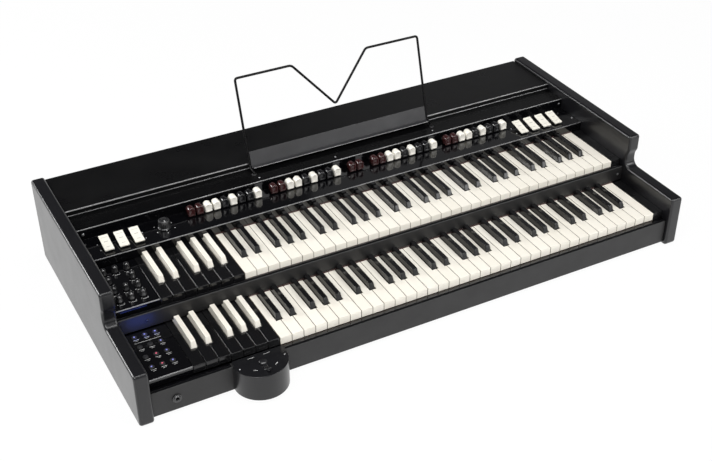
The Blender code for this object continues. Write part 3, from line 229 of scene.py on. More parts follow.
# Half-moon switch and headphone socket
HALF_MOON_X = X_LEFT + 0.202
HALF_MOON_TOP = 0.0598
HALF_MOON_RADIUS = 0.0508
HALF_MOON_Y = -0.26825 - 0.045 + HALF_MOON_RADIUS
LEVER_Y = -0.27525
LEVER_LIFT = 0.0005  # above the housing
LEVER_SHAFT = (-0.0065, 0.001)  # foot and top, from the lever's underside
LEVER_HUB = ((0.0072, 0.0), (0.0075, 0.0004), (0.0075, 0.0026), (0.0068, 0.0036), (0.004, 0.0041),
             (0.0006, 0.0041))
# Distance from the hub, half width, underside and top
LEVER_RINGS = ((0.0, 0.0036, 0.0004, 0.0028), (0.012, 0.0034, 0.0004, 0.0028),
               (0.02, 0.0033, 0.0005, 0.0034), (0.0245, 0.0033, 0.0012, 0.0068),
               (0.0275, 0.0033, 0.003, 0.0098), (0.0298, 0.003, 0.0062, 0.01))
LEVER_CROWN = (0.6, 0.0003)  # share of the width and rise of the lever's crowned top
SOCKET_AT = (X_LEFT + 0.0457, 0.0318)
SOCKET_NUT_Y = Y_RAIL - 0.0023
SOCKET_NUT = ((0.0034, 0.0), (0.004, -0.0014), (0.0058, -0.0016), (0.0066, -0.0008), (0.0068, 0.0))

# Printed marks
MARK_WIDTH = 0.0007
MARK_THICK = 0.00012
LINE_START = 0.25  # share of the radius where a knob's line starts
LINE_INSET = 0.002  # from the knob's side to the line's end
LINE_DEPTH, LINE_PROUD = 0.0002, 0.0001
DOT_RADIUS, DOT_PROUD = 0.001, 0.0001
# Place beside the control, length and width
KNOB_MARKS = ((0.001, -0.0115, 0.0105, MARK_WIDTH), (0.0062, -0.0085, 0.0022, MARK_WIDTH),
              (-0.0062, -0.0085, 0.0022, MARK_WIDTH))
BUTTON_MARKS = ((0.001, -0.0082, 0.01, MARK_WIDTH), (0.001, -0.0118, 0.006, 0.0006))
BUTTON_RULE = (0.0194, 0.072, 0.048)  # from the first button, and its length
LEVER_MARK_ANGLES = (-34, 0, 34)
LEVER_MARK_ARC = (0.036, 0.03, 0.012)  # half axes of their arc and its shift
LEVER_MARK = (0.008, 0.0009)
SWITCH_BARS = ((-0.014, 0.021), (0.016, 0.021))  # from the lever's hub
SWITCH_BAR = 0.012

# Screws on the front
SCREW_RISE = 0.0013
SCREW_SINK = 0.0004
SCREW_TIP = 0.0003
SCREW_HEAD = ((1.0, 0.5), (0.8, 0.85), (0.45, 1.0))  # shares of the radius and the rise
SCREW_CROSS = (1.1, 0.22, 0.0003)  # length and width as shares of the radius, and thickness
SCREW_TURN = 0.4
FASCIA_SCREWS = ((-0.5445, Y_FASCIA, 0.154), (0.553, Y_FASCIA, 0.154))
DARK_RAIL_SCREW = (-0.507, Y_MID_RAIL, 0.0935)
RAIL_SCREW = (0.548, Y_MID_RAIL, 0.0935)
UPRIGHT_SCREW = 0.0028  # radii of the heads
STRIP_SCREW = 0.0022
FLOOR_SCREW = 0.0024
TAB_SCREW = 0.0014
HALF_MOON_SCREW = 0.0018
STRIP_SCREWS = ((-0.175, 0.134), (-0.004, 0.134), (0.23, 0.134))
FLOOR_SCREW_AT = (0.5535, 0.07)
TAB_SCREW_X = 0.0145  # from a tab's middle to the screws beside it
TAB_SCREW_Y = 0.0105
HALF_MOON_SCREWS = ((-0.043, -0.01), (0.043, -0.01), (0.0, -0.036))

# Music stand
WIRE_RADIUS = 0.0025
WIRE_RESOLUTION = 6
STAND_FEET = (-0.1785, 0.2375)
STAND_FOOT_Y = Y_FASCIA + 0.03
STAND_FOOT_DEPTH = 0.009  # below the cap strip's top
STAND_BEND_Y = STAND_FOOT_Y + 0.021
STAND_BEND_Z = Z_STRIP + 0.0074
STAND_TILT = math.radians(16.0)
STAND_HEIGHT = 0.1815
STAND_NOTCH_HALF = 0.085
STAND_NOTCH_BOTTOM = 0.083
STAND_CORNER = 0.006
STAND_CORNER_STEPS = 7
STAND_CORNER_SHARE = 2.5  # a bend takes at most this part of the runs beside it
PLATE_LEDGE = 0.013
PLATE_THICK = 0.0014
LEDGE_BEAD = 0.0007
LEDGE_BEAD_SHIFT = (0.0004, -0.0003)
LEDGE_BEAD_GAP = 0.0034
GROMMET = ((0.0031, 0.0), (0.0031, 0.0012), (0.004, 0.0016), (0.0052, 0.001), (0.0055, 0.0))

# Rear fittings
CONNECTOR_X = X_LEFT + 0.47
CONNECTOR_SIZE = (0.3, 0.036)
REAR_FACE = Y_BACK - 0.006  # face of the connector plate
REAR_Z = 0.068
JACKS = 6
JACK_PITCH = 0.04
JACK_NUT = ((0.0036, 0.0001), (0.0038, 0.0022), (0.0052, 0.0024), (0.006, 0.0016), (0.0064, 0.0001))
PLATE_SCREW = 0.0026
PLATE_SCREW_INSET = (0.008, 0.006)
BACK_SCREW = 0.0032
BACK_SCREW_X = (-0.53, -0.27, 0.0, 0.27, 0.53)
BACK_SCREW_Z = (0.02, 0.15)
BACK_SCREW_DEPTH = 0.0003  # heads' seat behind the panel's face

# Studio
FLOOR_HALF = 12.0
FLOOR_COLOR = (0.92, 0.92, 0.92, 1.0)
FLOOR_ROUGHNESS = 0.9
FLOOR_GLOW = 0.95  # share of plain white in the floor that the camera sees
WALL = (1.0, 1.0, 1.0)
WALL_TOP = 0.03  # sine of the elevation where the pale wall ends
CEILING = (0.04, 0.04, 0.043)
CEILING_FROM = 0.27  # sine of the elevation where the ceiling is fully dark
LAMP_TARGET = (0.0, 0.0, 0.1)
# Name, place, size and power; the last one, the glow of the lit buttons, has a target and colour too
LAMPS = (("key_lamp", (-1.6, -1.4, 2.6), (1.8, 1.8), 66.0),
         ("fill_lamp", (1.6, -2.0, 2.2), (2.0, 1.2), 51.0),
         ("top_lamp", (0.0, -0.2, 3.2), (2.2, 1.2), 36.0),
         ("rim_lamp", (-2.1, 1.9, 1.3), (1.2, 0.7), 45.0),
         ("front_lamp", (1.65, -2.64, 0.48), (0.9, 0.5), 5.5),
         ("lid_lamp", (1.95, 2.45, 1.55), (1.6, 1.6), 1.2),
         ("button_glow", (-0.515, -0.135, 0.082), (0.05, 0.012), 0.008, (-0.515, -0.108, 0.095),
          (0.1, 0.18, 1.0)))

# Photograph's frame and camera
PHOTO_WIDTH, PHOTO_HEIGHT = 712, 461
FOCAL_PIXELS = 1178.6
OPTICAL_CENTRE = (372.1, 258.8)
SENSOR_WIDTH = 36.0
CAMERA_PLACE = Vector((-0.9484, -1.7477, 1.403))
CAMERA_AZIMUTH = math.radians(28.74)
CAMERA_ELEVATION = math.radians(35.41)
CAMERA_ROLL = math.radians(0.158)

# Noise in the finishes
NOISE_SPAN = (0.3, 0.7)  # the part of a noise's values that is stretched to the whole range
CLOUD_DETAIL, GLOSS_DETAIL, KEY_DETAIL, GRAIN_DETAIL = 4.0, 5.0, 3.0, 2.0
GLOSS_SCALE = 2.3  # clouds of gloss are finer than clouds of colour by this
LEAST_ROUGHNESS = 0.02


# Finishes

def feed(tree, socket, value):
    """Gives a socket a plain value or another node's output."""
    if isinstance(value, bpy.types.NodeSocket):
        tree.links.new(value, socket)
    else:
        socket.default_value = value


def fill(tree, made, inputs):
    """Feeds a node's inputs, in whose names _ stands for a space."""
    for name, value in inputs.items():
        feed(tree, made.inputs[name.replace("_", " ")], value)


def node(tree, kind, **inputs):
    made = tree.nodes.new("ShaderNode" + kind)
    fill(tree, made, inputs)
    return made


def surface(tree, **inputs):
    """Feeds a material's main shader."""
    fill(tree, tree.nodes["Principled BSDF"], inputs)


def noise(tree, vector, scale, detail):
    return node(tree, "TexNoise", Vector=vector, Scale=scale, Detail=detail).outputs["Fac"]


def mapped(tree, value, low, high, span=NOISE_SPAN):
    """A value with its span stretched or squeezed to run from low to high."""
    made = node(tree, "MapRange", Value=value, From_Min=span[0], From_Max=span[1], To_Min=low, To_Max=high)
    return made.outputs["Result"]


def mixed(tree, factor, first, second):
    """Two colours, each a tuple or a node's output, mixed by a factor."""
    made = node(tree, "Mix")
    made.data_type = "RGBA"
    feed(tree, made.inputs["Factor"], factor)
    for name, value in (("A", first), ("B", second)):
        socket = [s for s in made.inputs if s.name == name and s.type == "RGBA"][0]
        feed(tree, socket, (*value, 1.0) if isinstance(value, tuple) else value)
    return [s for s in made.outputs if s.type == "RGBA"][0]


def reckoned(tree, operation, *values):
    """A Math node's result, of plain numbers and outputs of other nodes."""
    made = node(tree, "Math")
    made.operation = operation
    for socket, value in zip(made.inputs, values):
        feed(tree, socket, value)
    return made.outputs[0]


def component(tree, vector, name):
    return node(tree, "SeparateXYZ", Vector=vector).outputs[name]


def placed(tree, stretch=(1.0, 1.0, 1.0)):
    """Object coordinates in metres, stretched for grain."""
    place = node(tree, "TexCoord").outputs["Object"]
    return node(tree, "Mapping", Vector=place, Scale=stretch).outputs["Vector"]


def bumped(tree, height, strength, distance):
    return node(tree, "Bump", Height=height, Strength=strength, Distance=distance).outputs["Normal"]


def finish(name, color, roughness, spread=0.15, cloud=30.0, rough_spread=0.06, grain=900.0,
           depth=0.00002, strength=0.3, stretch=(1.0, 1.0, 1.0), metallic=0.0, coat=0.0,
           coat_roughness=0.1, specular=0.5, sheen=0.0):
    """A finish with cloudy colour and gloss and a fine surface grain, all in object space.

    The colour varies by the share spread and the roughness by rough_spread, in clouds of the scale
    cloud. The grain has its own scale, depth and strength.
    """
    made = bpy.data.materials.new(name)
    made.use_nodes = True
    tree = made.node_tree
    vector = placed(tree, stretch)
    clouds = noise(tree, vector, cloud, CLOUD_DETAIL)
    dark = tuple(c * (1.0 - spread) for c in color)
    light = tuple(min(1.0, c * (1.0 + spread)) for c in color)
    low = max(LEAST_ROUGHNESS, roughness - rough_spread)
    gloss = noise(tree, vector, cloud * GLOSS_SCALE, GLOSS_DETAIL)
    fine = noise(tree, vector, grain, GRAIN_DETAIL)
    surface(tree, Base_Color=mixed(tree, mapped(tree, clouds, 0.0, 1.0), dark, light),
            Roughness=mapped(tree, gloss, low, roughness + rough_spread),
            Normal=bumped(tree, fine, strength, depth), Metallic=metallic, Coat_Weight=coat,
            Coat_Roughness=coat_roughness, Specular_IOR_Level=specular, Sheen_Weight=sheen)
    return made


def key_finish(name, dark, light, roughness, grain_depth, side=None):
    """Moulded key plastic: each key's shade differs a little and the grain runs along the key.

    With a side colour the flanks between two keys are darker than the tops: painted shade in the gaps between
    keys.
    """
    made = finish(name, light, roughness, spread=0.02, cloud=55.0, rough_spread=0.05, grain=1.0,
                  depth=grain_depth)
    tree = made.node_tree
    place = node(tree, "TexCoord").outputs
    across = component(tree, place["Object"], "X")
    number = reckoned(tree, "SNAP", reckoned(tree, "SUBTRACT", across, X_MAIN), KEY_PITCH)
    chance = node(tree, "TexWhiteNoise")
    chance.noise_dimensions = "1D"
    feed(tree, chance.inputs["W"], number)
    cloud = noise(tree, placed(tree), KEY_CLOUD, KEY_DETAIL)
    shade = reckoned(tree, "MULTIPLY", chance.outputs["Value"], cloud)
    color = mixed(tree, shade, light, dark)
    # Painted shade: faces turned sideways, the flanks in the gaps between keys, darken towards the side
    # colour
    if side:
        shaded_flank = reckoned(tree, "ABSOLUTE", component(tree, place["Normal"], "X"))
        color = mixed(tree, mapped(tree, shaded_flank, 0.0, 1.0, SHADED_FLANK), color, side)
    grain = noise(tree, placed(tree, KEY_GRAIN), 1.0, GRAIN_DETAIL)
    surface(tree, Base_Color=color, Normal=bumped(tree, grain, KEY_GRAIN_STRENGTH, grain_depth))
    return made


def board_finish():
    """Green solder mask with paler tracks under it."""
    made = finish("circuit_board", (0.02, 0.11, 0.05), 0.35, grain=500.0)
    tree = made.node_tree
    bricks = node(tree, "TexBrick", Vector=placed(tree), Scale=60.0, Mortar_Size=0.06,
                  Color1=(0.016, 0.09, 0.04, 1.0), Color2=(0.022, 0.12, 0.055, 1.0),
                  Mortar=(0.05, 0.2, 0.09, 1.0))
    surface(tree, Base_Color=bricks.outputs["Color"])
    return made


def light_finish(name, color, strength):
    """A lit lens, which glows in its own colour."""
    made = finish(name, color, 0.25, grain=1500.0, coat=0.5)
    surface(made.node_tree, Emission_Color=(*color, 1.0), Emission_Strength=strength)
    return made


IVORY = ((0.77, 0.727, 0.635), (0.84, 0.804, 0.72), 0.2, 0.000004)
FELT = {"spread": 0.4, "cloud": 900.0, "grain": 2600.0, "depth": 0.0003, "strength": 0.8, "sheen": 0.3}
FINISHES = {
    "cheek": finish("cheek_paint", (0.006, 0.006, 0.0072), 0.3, cloud=9.0, rough_spread=0.015,
                    depth=0.000006, coat=0.2, coat_roughness=0.22),
    "rail": finish("rail_paint", (0.0066, 0.0064, 0.0068), 0.5, cloud=12.0, depth=0.00003, specular=0.62),
    "strip": finish("strip_paint", (0.0022, 0.0022, 0.0024), 0.24, cloud=9.0, grain=1200.0, specular=0.25),
    "lid": finish("lid_paint", (0.0028, 0.0028, 0.003), 0.32, cloud=7.0, grain=1500.0, depth=0.00003,
                  specular=0.28),
    "gloss": finish("panel_gloss", (0.002, 0.002, 0.0026), 0.1, cloud=5.0, rough_spread=0.04,
                    grain=260.0, depth=0.00001, coat=0.35, coat_roughness=0.05),
    "frame": finish("frame_paint", (0.006, 0.006, 0.0066), 0.22, grain=1100.0, specular=0.35),
    "board": finish("base_board", (0.1, 0.075, 0.05), 0.75, spread=0.3, cloud=260.0, grain=800.0,
                    depth=0.0002),
    # The naturals' flanks get a dark side colour, painted shade between the keys
    "ivory": key_finish("ivory_keys", *IVORY, side=(0.2, 0.165, 0.12)),
    "ivory_sharp": key_finish("ivory_sharps", *IVORY),
    "ebony": key_finish("ebony_keys", (0.003, 0.003, 0.0034), (0.006, 0.006, 0.0066), 0.12, 0.00001),
    "brown": finish("drawbar_brown", (0.034, 0.009, 0.009), 0.22, grain=700.0, coat=0.4),
    "white": finish("drawbar_white", (0.88, 0.85, 0.77), 0.25, spread=0.03, grain=700.0, coat=0.2),
    "black": finish("drawbar_black", (0.007, 0.007, 0.008), 0.2, grain=700.0, coat=0.4),
    "tab": finish("tab_cream", (0.8, 0.775, 0.69), 0.22, spread=0.03, cloud=60.0),
    "knob": finish("knob_black", (0.0085, 0.0085, 0.0095), 0.3, cloud=120.0, grain=1300.0, coat=0.6,
                   coat_roughness=0.2, specular=0.8),
    "rubber": finish("button_rubber", (0.009, 0.009, 0.01), 0.55, cloud=150.0, grain=2200.0,
                     depth=0.00004),
    "circuit": board_finish(),
    "steel": finish("brushed_steel", (0.52, 0.53, 0.55), 0.32, spread=0.08, grain=1.0,
                    stretch=(60.0, 1800.0, 1800.0), metallic=1.0),
    "chrome": finish("bright_chrome", (0.72, 0.73, 0.75), 0.12, spread=0.04, metallic=1.0),
    "stand": finish("stand_paint", (0.003, 0.003, 0.0034), 0.3, cloud=80.0, grain=1600.0,
                    specular=0.14),
    "plate": finish("plate_paint", (0.028, 0.028, 0.03), 0.4, cloud=20.0, grain=1900.0, depth=0.00003),
    "mark": finish("printed_marks", (0.62, 0.62, 0.61), 0.5, grain=1200.0),
    "print": finish("tab_print", (0.42, 0.41, 0.37), 0.55, grain=1200.0),
    "felt": finish("felt_brown", (0.055, 0.036, 0.024), 0.95, **FELT),
    "rear_felt": finish("felt_red", (0.048, 0.014, 0.011), 0.95, **FELT),
    # Matte black for the strips before the key slips: painted shade under the key fronts
    "painted_shade_black": finish("painted_shade_strip", (0.0022, 0.0022, 0.0028), 0.85, cloud=900.0, grain=2600.0,
                         depth=0.0001, specular=0.1),
    "screw": finish("screw_steel", (0.46, 0.46, 0.47), 0.3, spread=0.1, grain=2400.0, metallic=1.0),
    "off": finish("lens_off", (0.035, 0.035, 0.04), 0.2, grain=1500.0, coat=0.5),
    # Pale grey for the beads along front edges: painted highlights where rounded edges catch the light
    "edge": finish("painted_highlight_edge", (0.26, 0.26, 0.262), 0.3, spread=0.2, cloud=40.0, grain=1400.0,
                   metallic=0.5),
    "blue": light_finish("led_blue", (0.18, 0.19, 0.5), 0.7),
    "red": light_finish("led_red", (0.5, 0.1, 0.15), 0.7),
}
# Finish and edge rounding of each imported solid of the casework
CASEWORK = {
    "left_cheek": ("cheek", CHEEK_ROUND), "right_cheek": ("cheek", CHEEK_ROUND),
    "front_rail": ("rail", 0.0015), "mid_rail": ("rail", 0.0016), "drawbar_panel": ("gloss", 0.0009),
    "cap_strip": ("strip", 0.0009), "lid": ("lid", 0.0018), "back_panel": ("lid", 0.0008),
    "bottom_board": ("board", 0.0008), "lower_key_frame": ("frame", 0.0005),
    "upper_key_frame": ("frame", 0.0005), "knob_panel": ("gloss", 0.0007),
    "button_panel": ("gloss", 0.0007), "half_moon_housing": ("cheek", 0.001),
    "headphone_socket": ("knob", 0.0004), "connector_plate": ("steel", 0.0004),
    "power_inlet": ("knob", 0.0006), "power_switch": ("knob", 0.0007), "main_board": ("circuit", 0.0),
    "power_supply": ("steel", 0.001), "lower_contact_board": ("circuit", 0.0),
    "upper_contact_board": ("circuit", 0.0), "music_stand_shelf": ("plate", 0.0004)}


# Building pieces

def added(name, data):
    """A new object in the scene."""
    made = bpy.data.objects.new(name, data)
    bpy.context.scene.collection.objects.link(made)
    return made


def mesh_of(name, shape):
    data = bpy.data.meshes.new(name)
    shape.to_mesh(data)
    shape.free()
    return data


def dress(solid, name):
    """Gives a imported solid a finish."""
    slots = solid.data.materials
    slots.clear()
    slots.append(FINISHES[name])
    for face in solid.data.polygons:
        face.material_index = 0


def modify(thing, name, kind, **settings):
    made = thing.modifiers.new(name, kind)
    for setting, value in settings.items():
        setattr(made, setting, value)


def soften(thing, width, segments=ROUND_STEPS, held=True):
    """Rounds a solid's edges, once its corners are welded and its flat faces are whole.

    Where held is false the rounding keeps its full width beside short edges.
    """
    modify(thing, "weld", "WELD", merge_threshold=WELD_REACH)
    modify(thing, "flat", "DECIMATE", decimate_type="DISSOLVE", angle_limit=FLAT_ANGLE)
    modify(thing, "edges", "BEVEL", width=width, segments=segments, limit_method="ANGLE",
           angle_limit=EDGE_ANGLE, use_clamp_overlap=held)
    modify(thing, "level", "WEIGHTED_NORMAL", mode="FACE_AREA", weight=NORMAL_WEIGHT, keep_sharp=True)
    thing.data.shade_smooth()


def piece(name, shape, look, body, smooth=35.0, edge=0.0, segments=ROUND_STEPS, place=None):
    """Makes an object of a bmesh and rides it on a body."""
    bmesh.ops.recalc_face_normals(shape, faces=shape.faces)
    data = mesh_of(name, shape)
    made = added(name, data)
    if place is not None:
        made.matrix_world = place
    data.materials.append(FINISHES[look])
    data.shade_smooth()
    data.set_sharp_from_angle(angle=math.radians(smooth))
    if edge:
        soften(made, edge, segments)
    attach(made, body)
    return made


def add_block(shape, place, size):
    bmesh.ops.create_cube(shape, size=1.0, matrix=place @ Matrix.Diagonal((*size, 1.0)))


def add_box(shape, low, high):
    middle = [(a + b) / 2 for a, b in zip(low, high)]
    add_block(shape, Matrix.Translation(middle), [b - a for a, b in zip(low, high)])


def skin(shape, one, two):
    """Faces between two closed rows of points."""
    for i in range(len(one)):
        j = (i + 1) % len(one)
        shape.faces.new((one[i], one[j], two[j], two[i]))


def loft(shape, rings):
    """Skins closed rings of the same length and caps both ends."""
    rows = [[shape.verts.new(point) for point in ring] for ring in rings]
    for one, two in zip(rows, rows[1:]):
        skin(shape, one, two)
    shape.faces.new(rows[0][::-1])
    shape.faces.new(rows[-1])


def around(place, radius, turn, height, axis):
    """A point a share of a turn round an axis through a place."""
    angle = 2 * math.pi * turn
    across, along = radius * math.cos(angle), radius * math.sin(angle)
    return Vector(place) + Vector((across, along, height) if axis == "Z" else (across, height, along))


def turned(shape, place, profile, steps, flutes=0, axis="Z"):
    """A lathe form of (radius, height) pairs, with flutes in its side where the radius allows."""
    rings = []
    for radius, height in profile:
        ring = []
        for i in range(steps):
            wave = 0.5 + 0.5 * math.cos(2 * math.pi * flutes * i / steps)
            dip = FLUTE_DEPTH * wave * min(1.0, radius / FLUTE_FADE) if flutes else 0.0
            ring.append(around(place, max(radius - dip, LEAST_RADIUS), i / steps, height, axis))
        rings.append(ring)
    loft(shape, rings)


def collar(shape, place, profile, steps=36, axis="Z"):
    """A ring turned from a closed outline of (radius, height) pairs."""
    rows = [[shape.verts.new(around(place, radius, i / steps, height, axis)) for i in range(steps)]
            for radius, height in profile]
    for one, two in zip(rows, rows[1:] + rows[:1]):
        skin(shape, one, two)


def arc(middle, radius, start, end, steps):
    """Points on an arc between two angles in degrees."""
    points = []
    for step in range(steps + 1):
        angle = math.radians(start + (end - start) * step / steps)
        points.append((middle[0] + radius * math.cos(angle), middle[1] + radius * math.sin(angle)))
    return points


def bead(ends, y, z, radius):
    """A round bead along X."""
    shape = bmesh.new()
    outline = arc((y, z), radius, 0, BEAD_TURN, BEAD_STEPS)
    loft(shape, [[Vector((x, *point)) for point in outline] for x in ends])
    return shape


def grid(first, pitch):
    """Column and row, x and y of the controls on one of the small panels."""
    return [((column, row), first[0] + column * pitch[0], first[1] + row * pitch[1])
            for row in range(ROWS) for column in range(COLUMNS)]


# Casework and keys

def casework():
    for name, (look, edge) in CASEWORK.items():
        solid = frame["nodes"][name]
        dress(solid, look)
        if edge:
            soften(solid, edge, CHEEK_ROUND_STEPS if look == "cheek" else ROUND_STEPS, look != "cheek")


def front_edges():
    """Pale beads along the front edges of the sheet panels and the lid: painted highlights where the rounded
    edges catch the light.
    """
    edges = [("lip_edge", Y_LIP, Z_FLOOR, SHEET_BEAD, X_LEFT, X_RIGHT),
             ("strip_edge", Y_FASCIA, Z_STRIP, SHEET_BEAD, X_LEFT, X_RIGHT),
             ("lid_edge", Y_LID, Z_LID_TOP, LID_BEAD, X_LEFT, X_RIGHT),
             ("lid_foot", Y_LID, Z_STRIP + LID_FOOT_RISE, LID_FOOT_BEAD, X_LEFT, X_RIGHT)]
    for panel in ("knob_panel", "button_panel"):
        low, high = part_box(panel)
        edges.append((panel + "_edge", low.y, high.z, PANEL_BEAD, low.x, high.x))
    for name, y, z, radius, left, right in edges:
        inset = radius * BEAD_INSET
        shape = bead((left + BEAD_GAP, right - BEAD_GAP), y + inset, z - inset, radius)
        piece(name, shape, "edge", "case", smooth=60.0)


def keys():
    """The key banks of both manuals and the keys that are nodes of their own."""
    banks = [(f"{row}_{bank}", bank) for row in ("lower", "upper") for bank in KEY_BANKS]
    for name, bank in (*banks, *SINGLE_KEYS):
        look, edge = KEY_BANKS[bank]
        solid = frame["nodes"][name]
        dress(solid, look)
        soften(solid, edge, KEY_ROUND_STEPS, held=bank != "preset_naturals")


def felt_strips():
    """Brown felt in the gap before the key fronts, and red felt where the keys pass under a panel."""
    for name, look, y, z, ((front, back), (foot, top)) in (
            ("lower_felt", "felt", Y_LOWER, LOWER_FELT_Z, FRONT_FELT),
            ("upper_felt", "felt", Y_UPPER, UPPER_FELT_Z, FRONT_FELT),
            ("lower_rear_felt", "rear_felt", Y_MID_RAIL, Z_LOWER_KEY_TOP, REAR_FELT),
            ("upper_rear_felt", "rear_felt", Y_LIP, Z_UPPER_KEY_TOP, REAR_FELT)):
        shape = bmesh.new()
        add_box(shape, (X_MAIN, y + front, z + foot), (X_BLOCK, y + back, z + top))
        piece(name, shape, look, "case", edge=FELT_EDGE)


def key_slips():
    """Glossy strips on top of the rails, each with a matte black strip before it as painted shade under the
    key fronts, clear of the half-moon switch.
    """
    shape, felt = bmesh.new(), bmesh.new()
    clear = HALF_MOON_RADIUS + SLIP_SWITCH_GAP
    for rail, gap in (("front_rail", (HALF_MOON_X - clear, HALF_MOON_X + clear)), ("mid_rail", ())):
        low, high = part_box(rail)
        ends = (low.x + SLIP_END_GAP, *gap, high.x - SLIP_END_GAP)
        front = low.y + SLIP_SHADE_STRIP[0]
        back = front + SLIP_SHADE_STRIP[1]
        foot, top = high.z - SLIP_SINK, high.z + SLIP_THICK
        for start, end in zip(ends[::2], ends[1::2]):
            # The black strip before the slip is painted shade under the key fronts
            add_box(felt, (start, front, foot), (end, back, top))
            add_box(shape, (start, back, foot), (end, high.y - SLIP_BACK_GAP, top))
    piece("key_slips", shape, "gloss", "case", edge=SLIP_EDGE)
    piece("slip_shade_strips", felt, "painted_shade_black", "case", edge=SLIP_EDGE)


# Drawbars and tabs

def knob_ring(x, y, shrink):
    """The drawbar knob's upright outline, drawn in towards its middle."""
    half, chamfer = DRAWBAR_HALF, DRAWBAR_CHAMFER
    inner = half - DRAWBAR_ROUND
    z_round = DRAWBAR_HEIGHT - DRAWBAR_ROUND
    points = [(-half + chamfer, 0.0), (half - chamfer, 0.0), (half, chamfer)]
    points += arc((inner, z_round), DRAWBAR_ROUND, 0, 90, DRAWBAR_ARC_STEPS)
    points += arc((-inner, z_round), DRAWBAR_ROUND, 90, 180, DRAWBAR_ARC_STEPS)
    points.append((-half, chamfer))
    middle = DRAWBAR_HEIGHT / 2
    keep_x = 1.0 - shrink / half
    keep_z = 1.0 - shrink / middle
    return [Vector((x + a * keep_x, y, DRAWBAR_Z + middle + (b - middle) * keep_z)) for a, b in points]


def drawbar_knob(shape, x):
    """A moulded knob: rounded tablet with a dished front for the finger."""
    steps = [(DRAWBAR_Y + depth, shrink) for depth, shrink in DRAWBAR_FRONT]
    steps += [(DRAWBAR_Y + DRAWBAR_DEPTH + depth, shrink) for depth, shrink in DRAWBAR_REAR]
    loft(shape, [knob_ring(x, y, shrink) for y, shrink in steps])


def drawbar_set(name, body, start, colors):
    """Knobs in their colours on black stems that pass through the fascia."""
    places = [DRAWBAR_X + (start + i) * DRAWBAR_PITCH for i in range(len(colors))]
    stems = bmesh.new()
    for x in places:
        add_box(stems, (x - STEM_HALF, DRAWBAR_Y + DRAWBAR_DEPTH - STEM_REACH, STEM_Z),
                (x + STEM_HALF, STEM_END - STEM_SHORT, STEM_Z + STEM_THICK))
    if len(colors) > 1:
        add_box(stems, (places[0] - DRAWBAR_HALF, STEM_END - CARRIER_DEPTH, STEM_Z + CARRIER_FOOT),
                (places[-1] + DRAWBAR_HALF, STEM_END - CARRIER_SHORT, STEM_Z + STEM_THICK + CARRIER_RISE))
    stem = piece(name + "_stems", stems, "black", body, edge=STEM_EDGE)
    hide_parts(name)
    for color in sorted(set(colors)):
        shape = bmesh.new()
        for x, own in zip(places, colors):
            if own == color:
                drawbar_knob(shape, x)
        piece(f"{name}_{color}", shape, color, body, smooth=50.0)


def drawbars():
    for number, color in enumerate(SET_COLORS, start=1):
        drawbar_set(f"drawbar_{number}", f"drawbar_{number}_slider", number - 1, (color,))
    for number, start in SET_STARTS.items():
        drawbar_set(f"drawbar_set_{number}", f"drawbar_set_{number}_slider", start, SET_COLORS)
    drawbar_set("pedal_drawbars", "pedal_pair", PEDAL_START, PEDAL_COLORS)


def tab_top(along):
    """Height of a tab's dished top over its pivot."""
    return TAB_RISE + TAB_THICK - TAB_DISH * (1.0 - (2.0 * along / TAB_LENGTH) ** 2)


def tabs():
    """Rocker tabs with a dished top and rounded edges."""
    half = TAB_LENGTH / 2
    steps = [-half + TAB_LENGTH * step / TAB_DISH_STEPS for step in range(TAB_DISH_STEPS + 1)]
    outline = [(-half, TAB_RISE), *((along, tab_top(along)) for along in steps), (half, TAB_RISE)]
    for number, x in enumerate(TAB_X, start=1):
        body = f"tab_{number}_rocker"
        place = Matrix.Translation((x, TAB_Y, TAB_Z)) @ Matrix.Rotation(TAB_TILT, 4, "X")
        shape = bmesh.new()
        loft(shape, [[(side * TAB_WIDTH / 2, a, b) for a, b in outline] for side in (-1, 1)])
        tab = piece(f"rocker_tab_{number}", shape, "tab", body, edge=TAB_EDGE,
                    segments=TAB_EDGE_STEPS, place=place)
        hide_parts(f"tab_{number}")
        prints = bmesh.new()
        for along, length, width in TAB_PRINTS:
            bar(prints, 0.0, along, tab_top(along), length, width)
        piece(f"rocker_print_{number}", prints, "print", body, place=place)
        stem = bmesh.new()
        add_box(stem, (-TAB_STEM / 2, -TAB_STEM / 2, -TAB_STEM_FOOT),
                (TAB_STEM / 2, TAB_STEM / 2, TAB_RISE + TAB_STEM_REACH))
        piece(f"rocker_stem_{number}", stem, "tab", body, edge=TAB_STEM_EDGE, place=place)


# Round controls

def shaft(shape, x, y, foot, top):
    turned(shape, (x, y, 0.0), ((SHAFT_RADIUS, foot), (SHAFT_RADIUS, top)), SHAFT_STEPS)


def small_knob(shape, x, y, z):
    """A small knob with a skirt and a rounded crown."""
    r, top = KNOB_RADIUS, z + KNOB_HEIGHT
    profile = [(r - inset, z + height) for inset, height in KNOB_SKIRT]
    profile += arc((r - KNOB_NECK - KNOB_RIM, top - KNOB_RIM), KNOB_RIM, 0, 90, KNOB_RIM_STEPS)
    profile += [(radius, top - depth) for radius, depth in KNOB_CROWN]
    turned(shape, (x, y, 0.0), profile, steps=36)


def knob_line(shape, x, y, z_top):
    """The pointer line on a small knob's top."""
    reach = KNOB_RADIUS - LINE_INSET
    add_box(shape, (x - MARK_WIDTH / 2, y - reach, z_top - LINE_DEPTH),
            (x + MARK_WIDTH / 2, y - reach * LINE_START, z_top + LINE_PROUD))


def knob_places():
    return [place for place in grid(KNOB_FIRST, KNOB_PITCH) if place[0] != MISSING_KNOB]


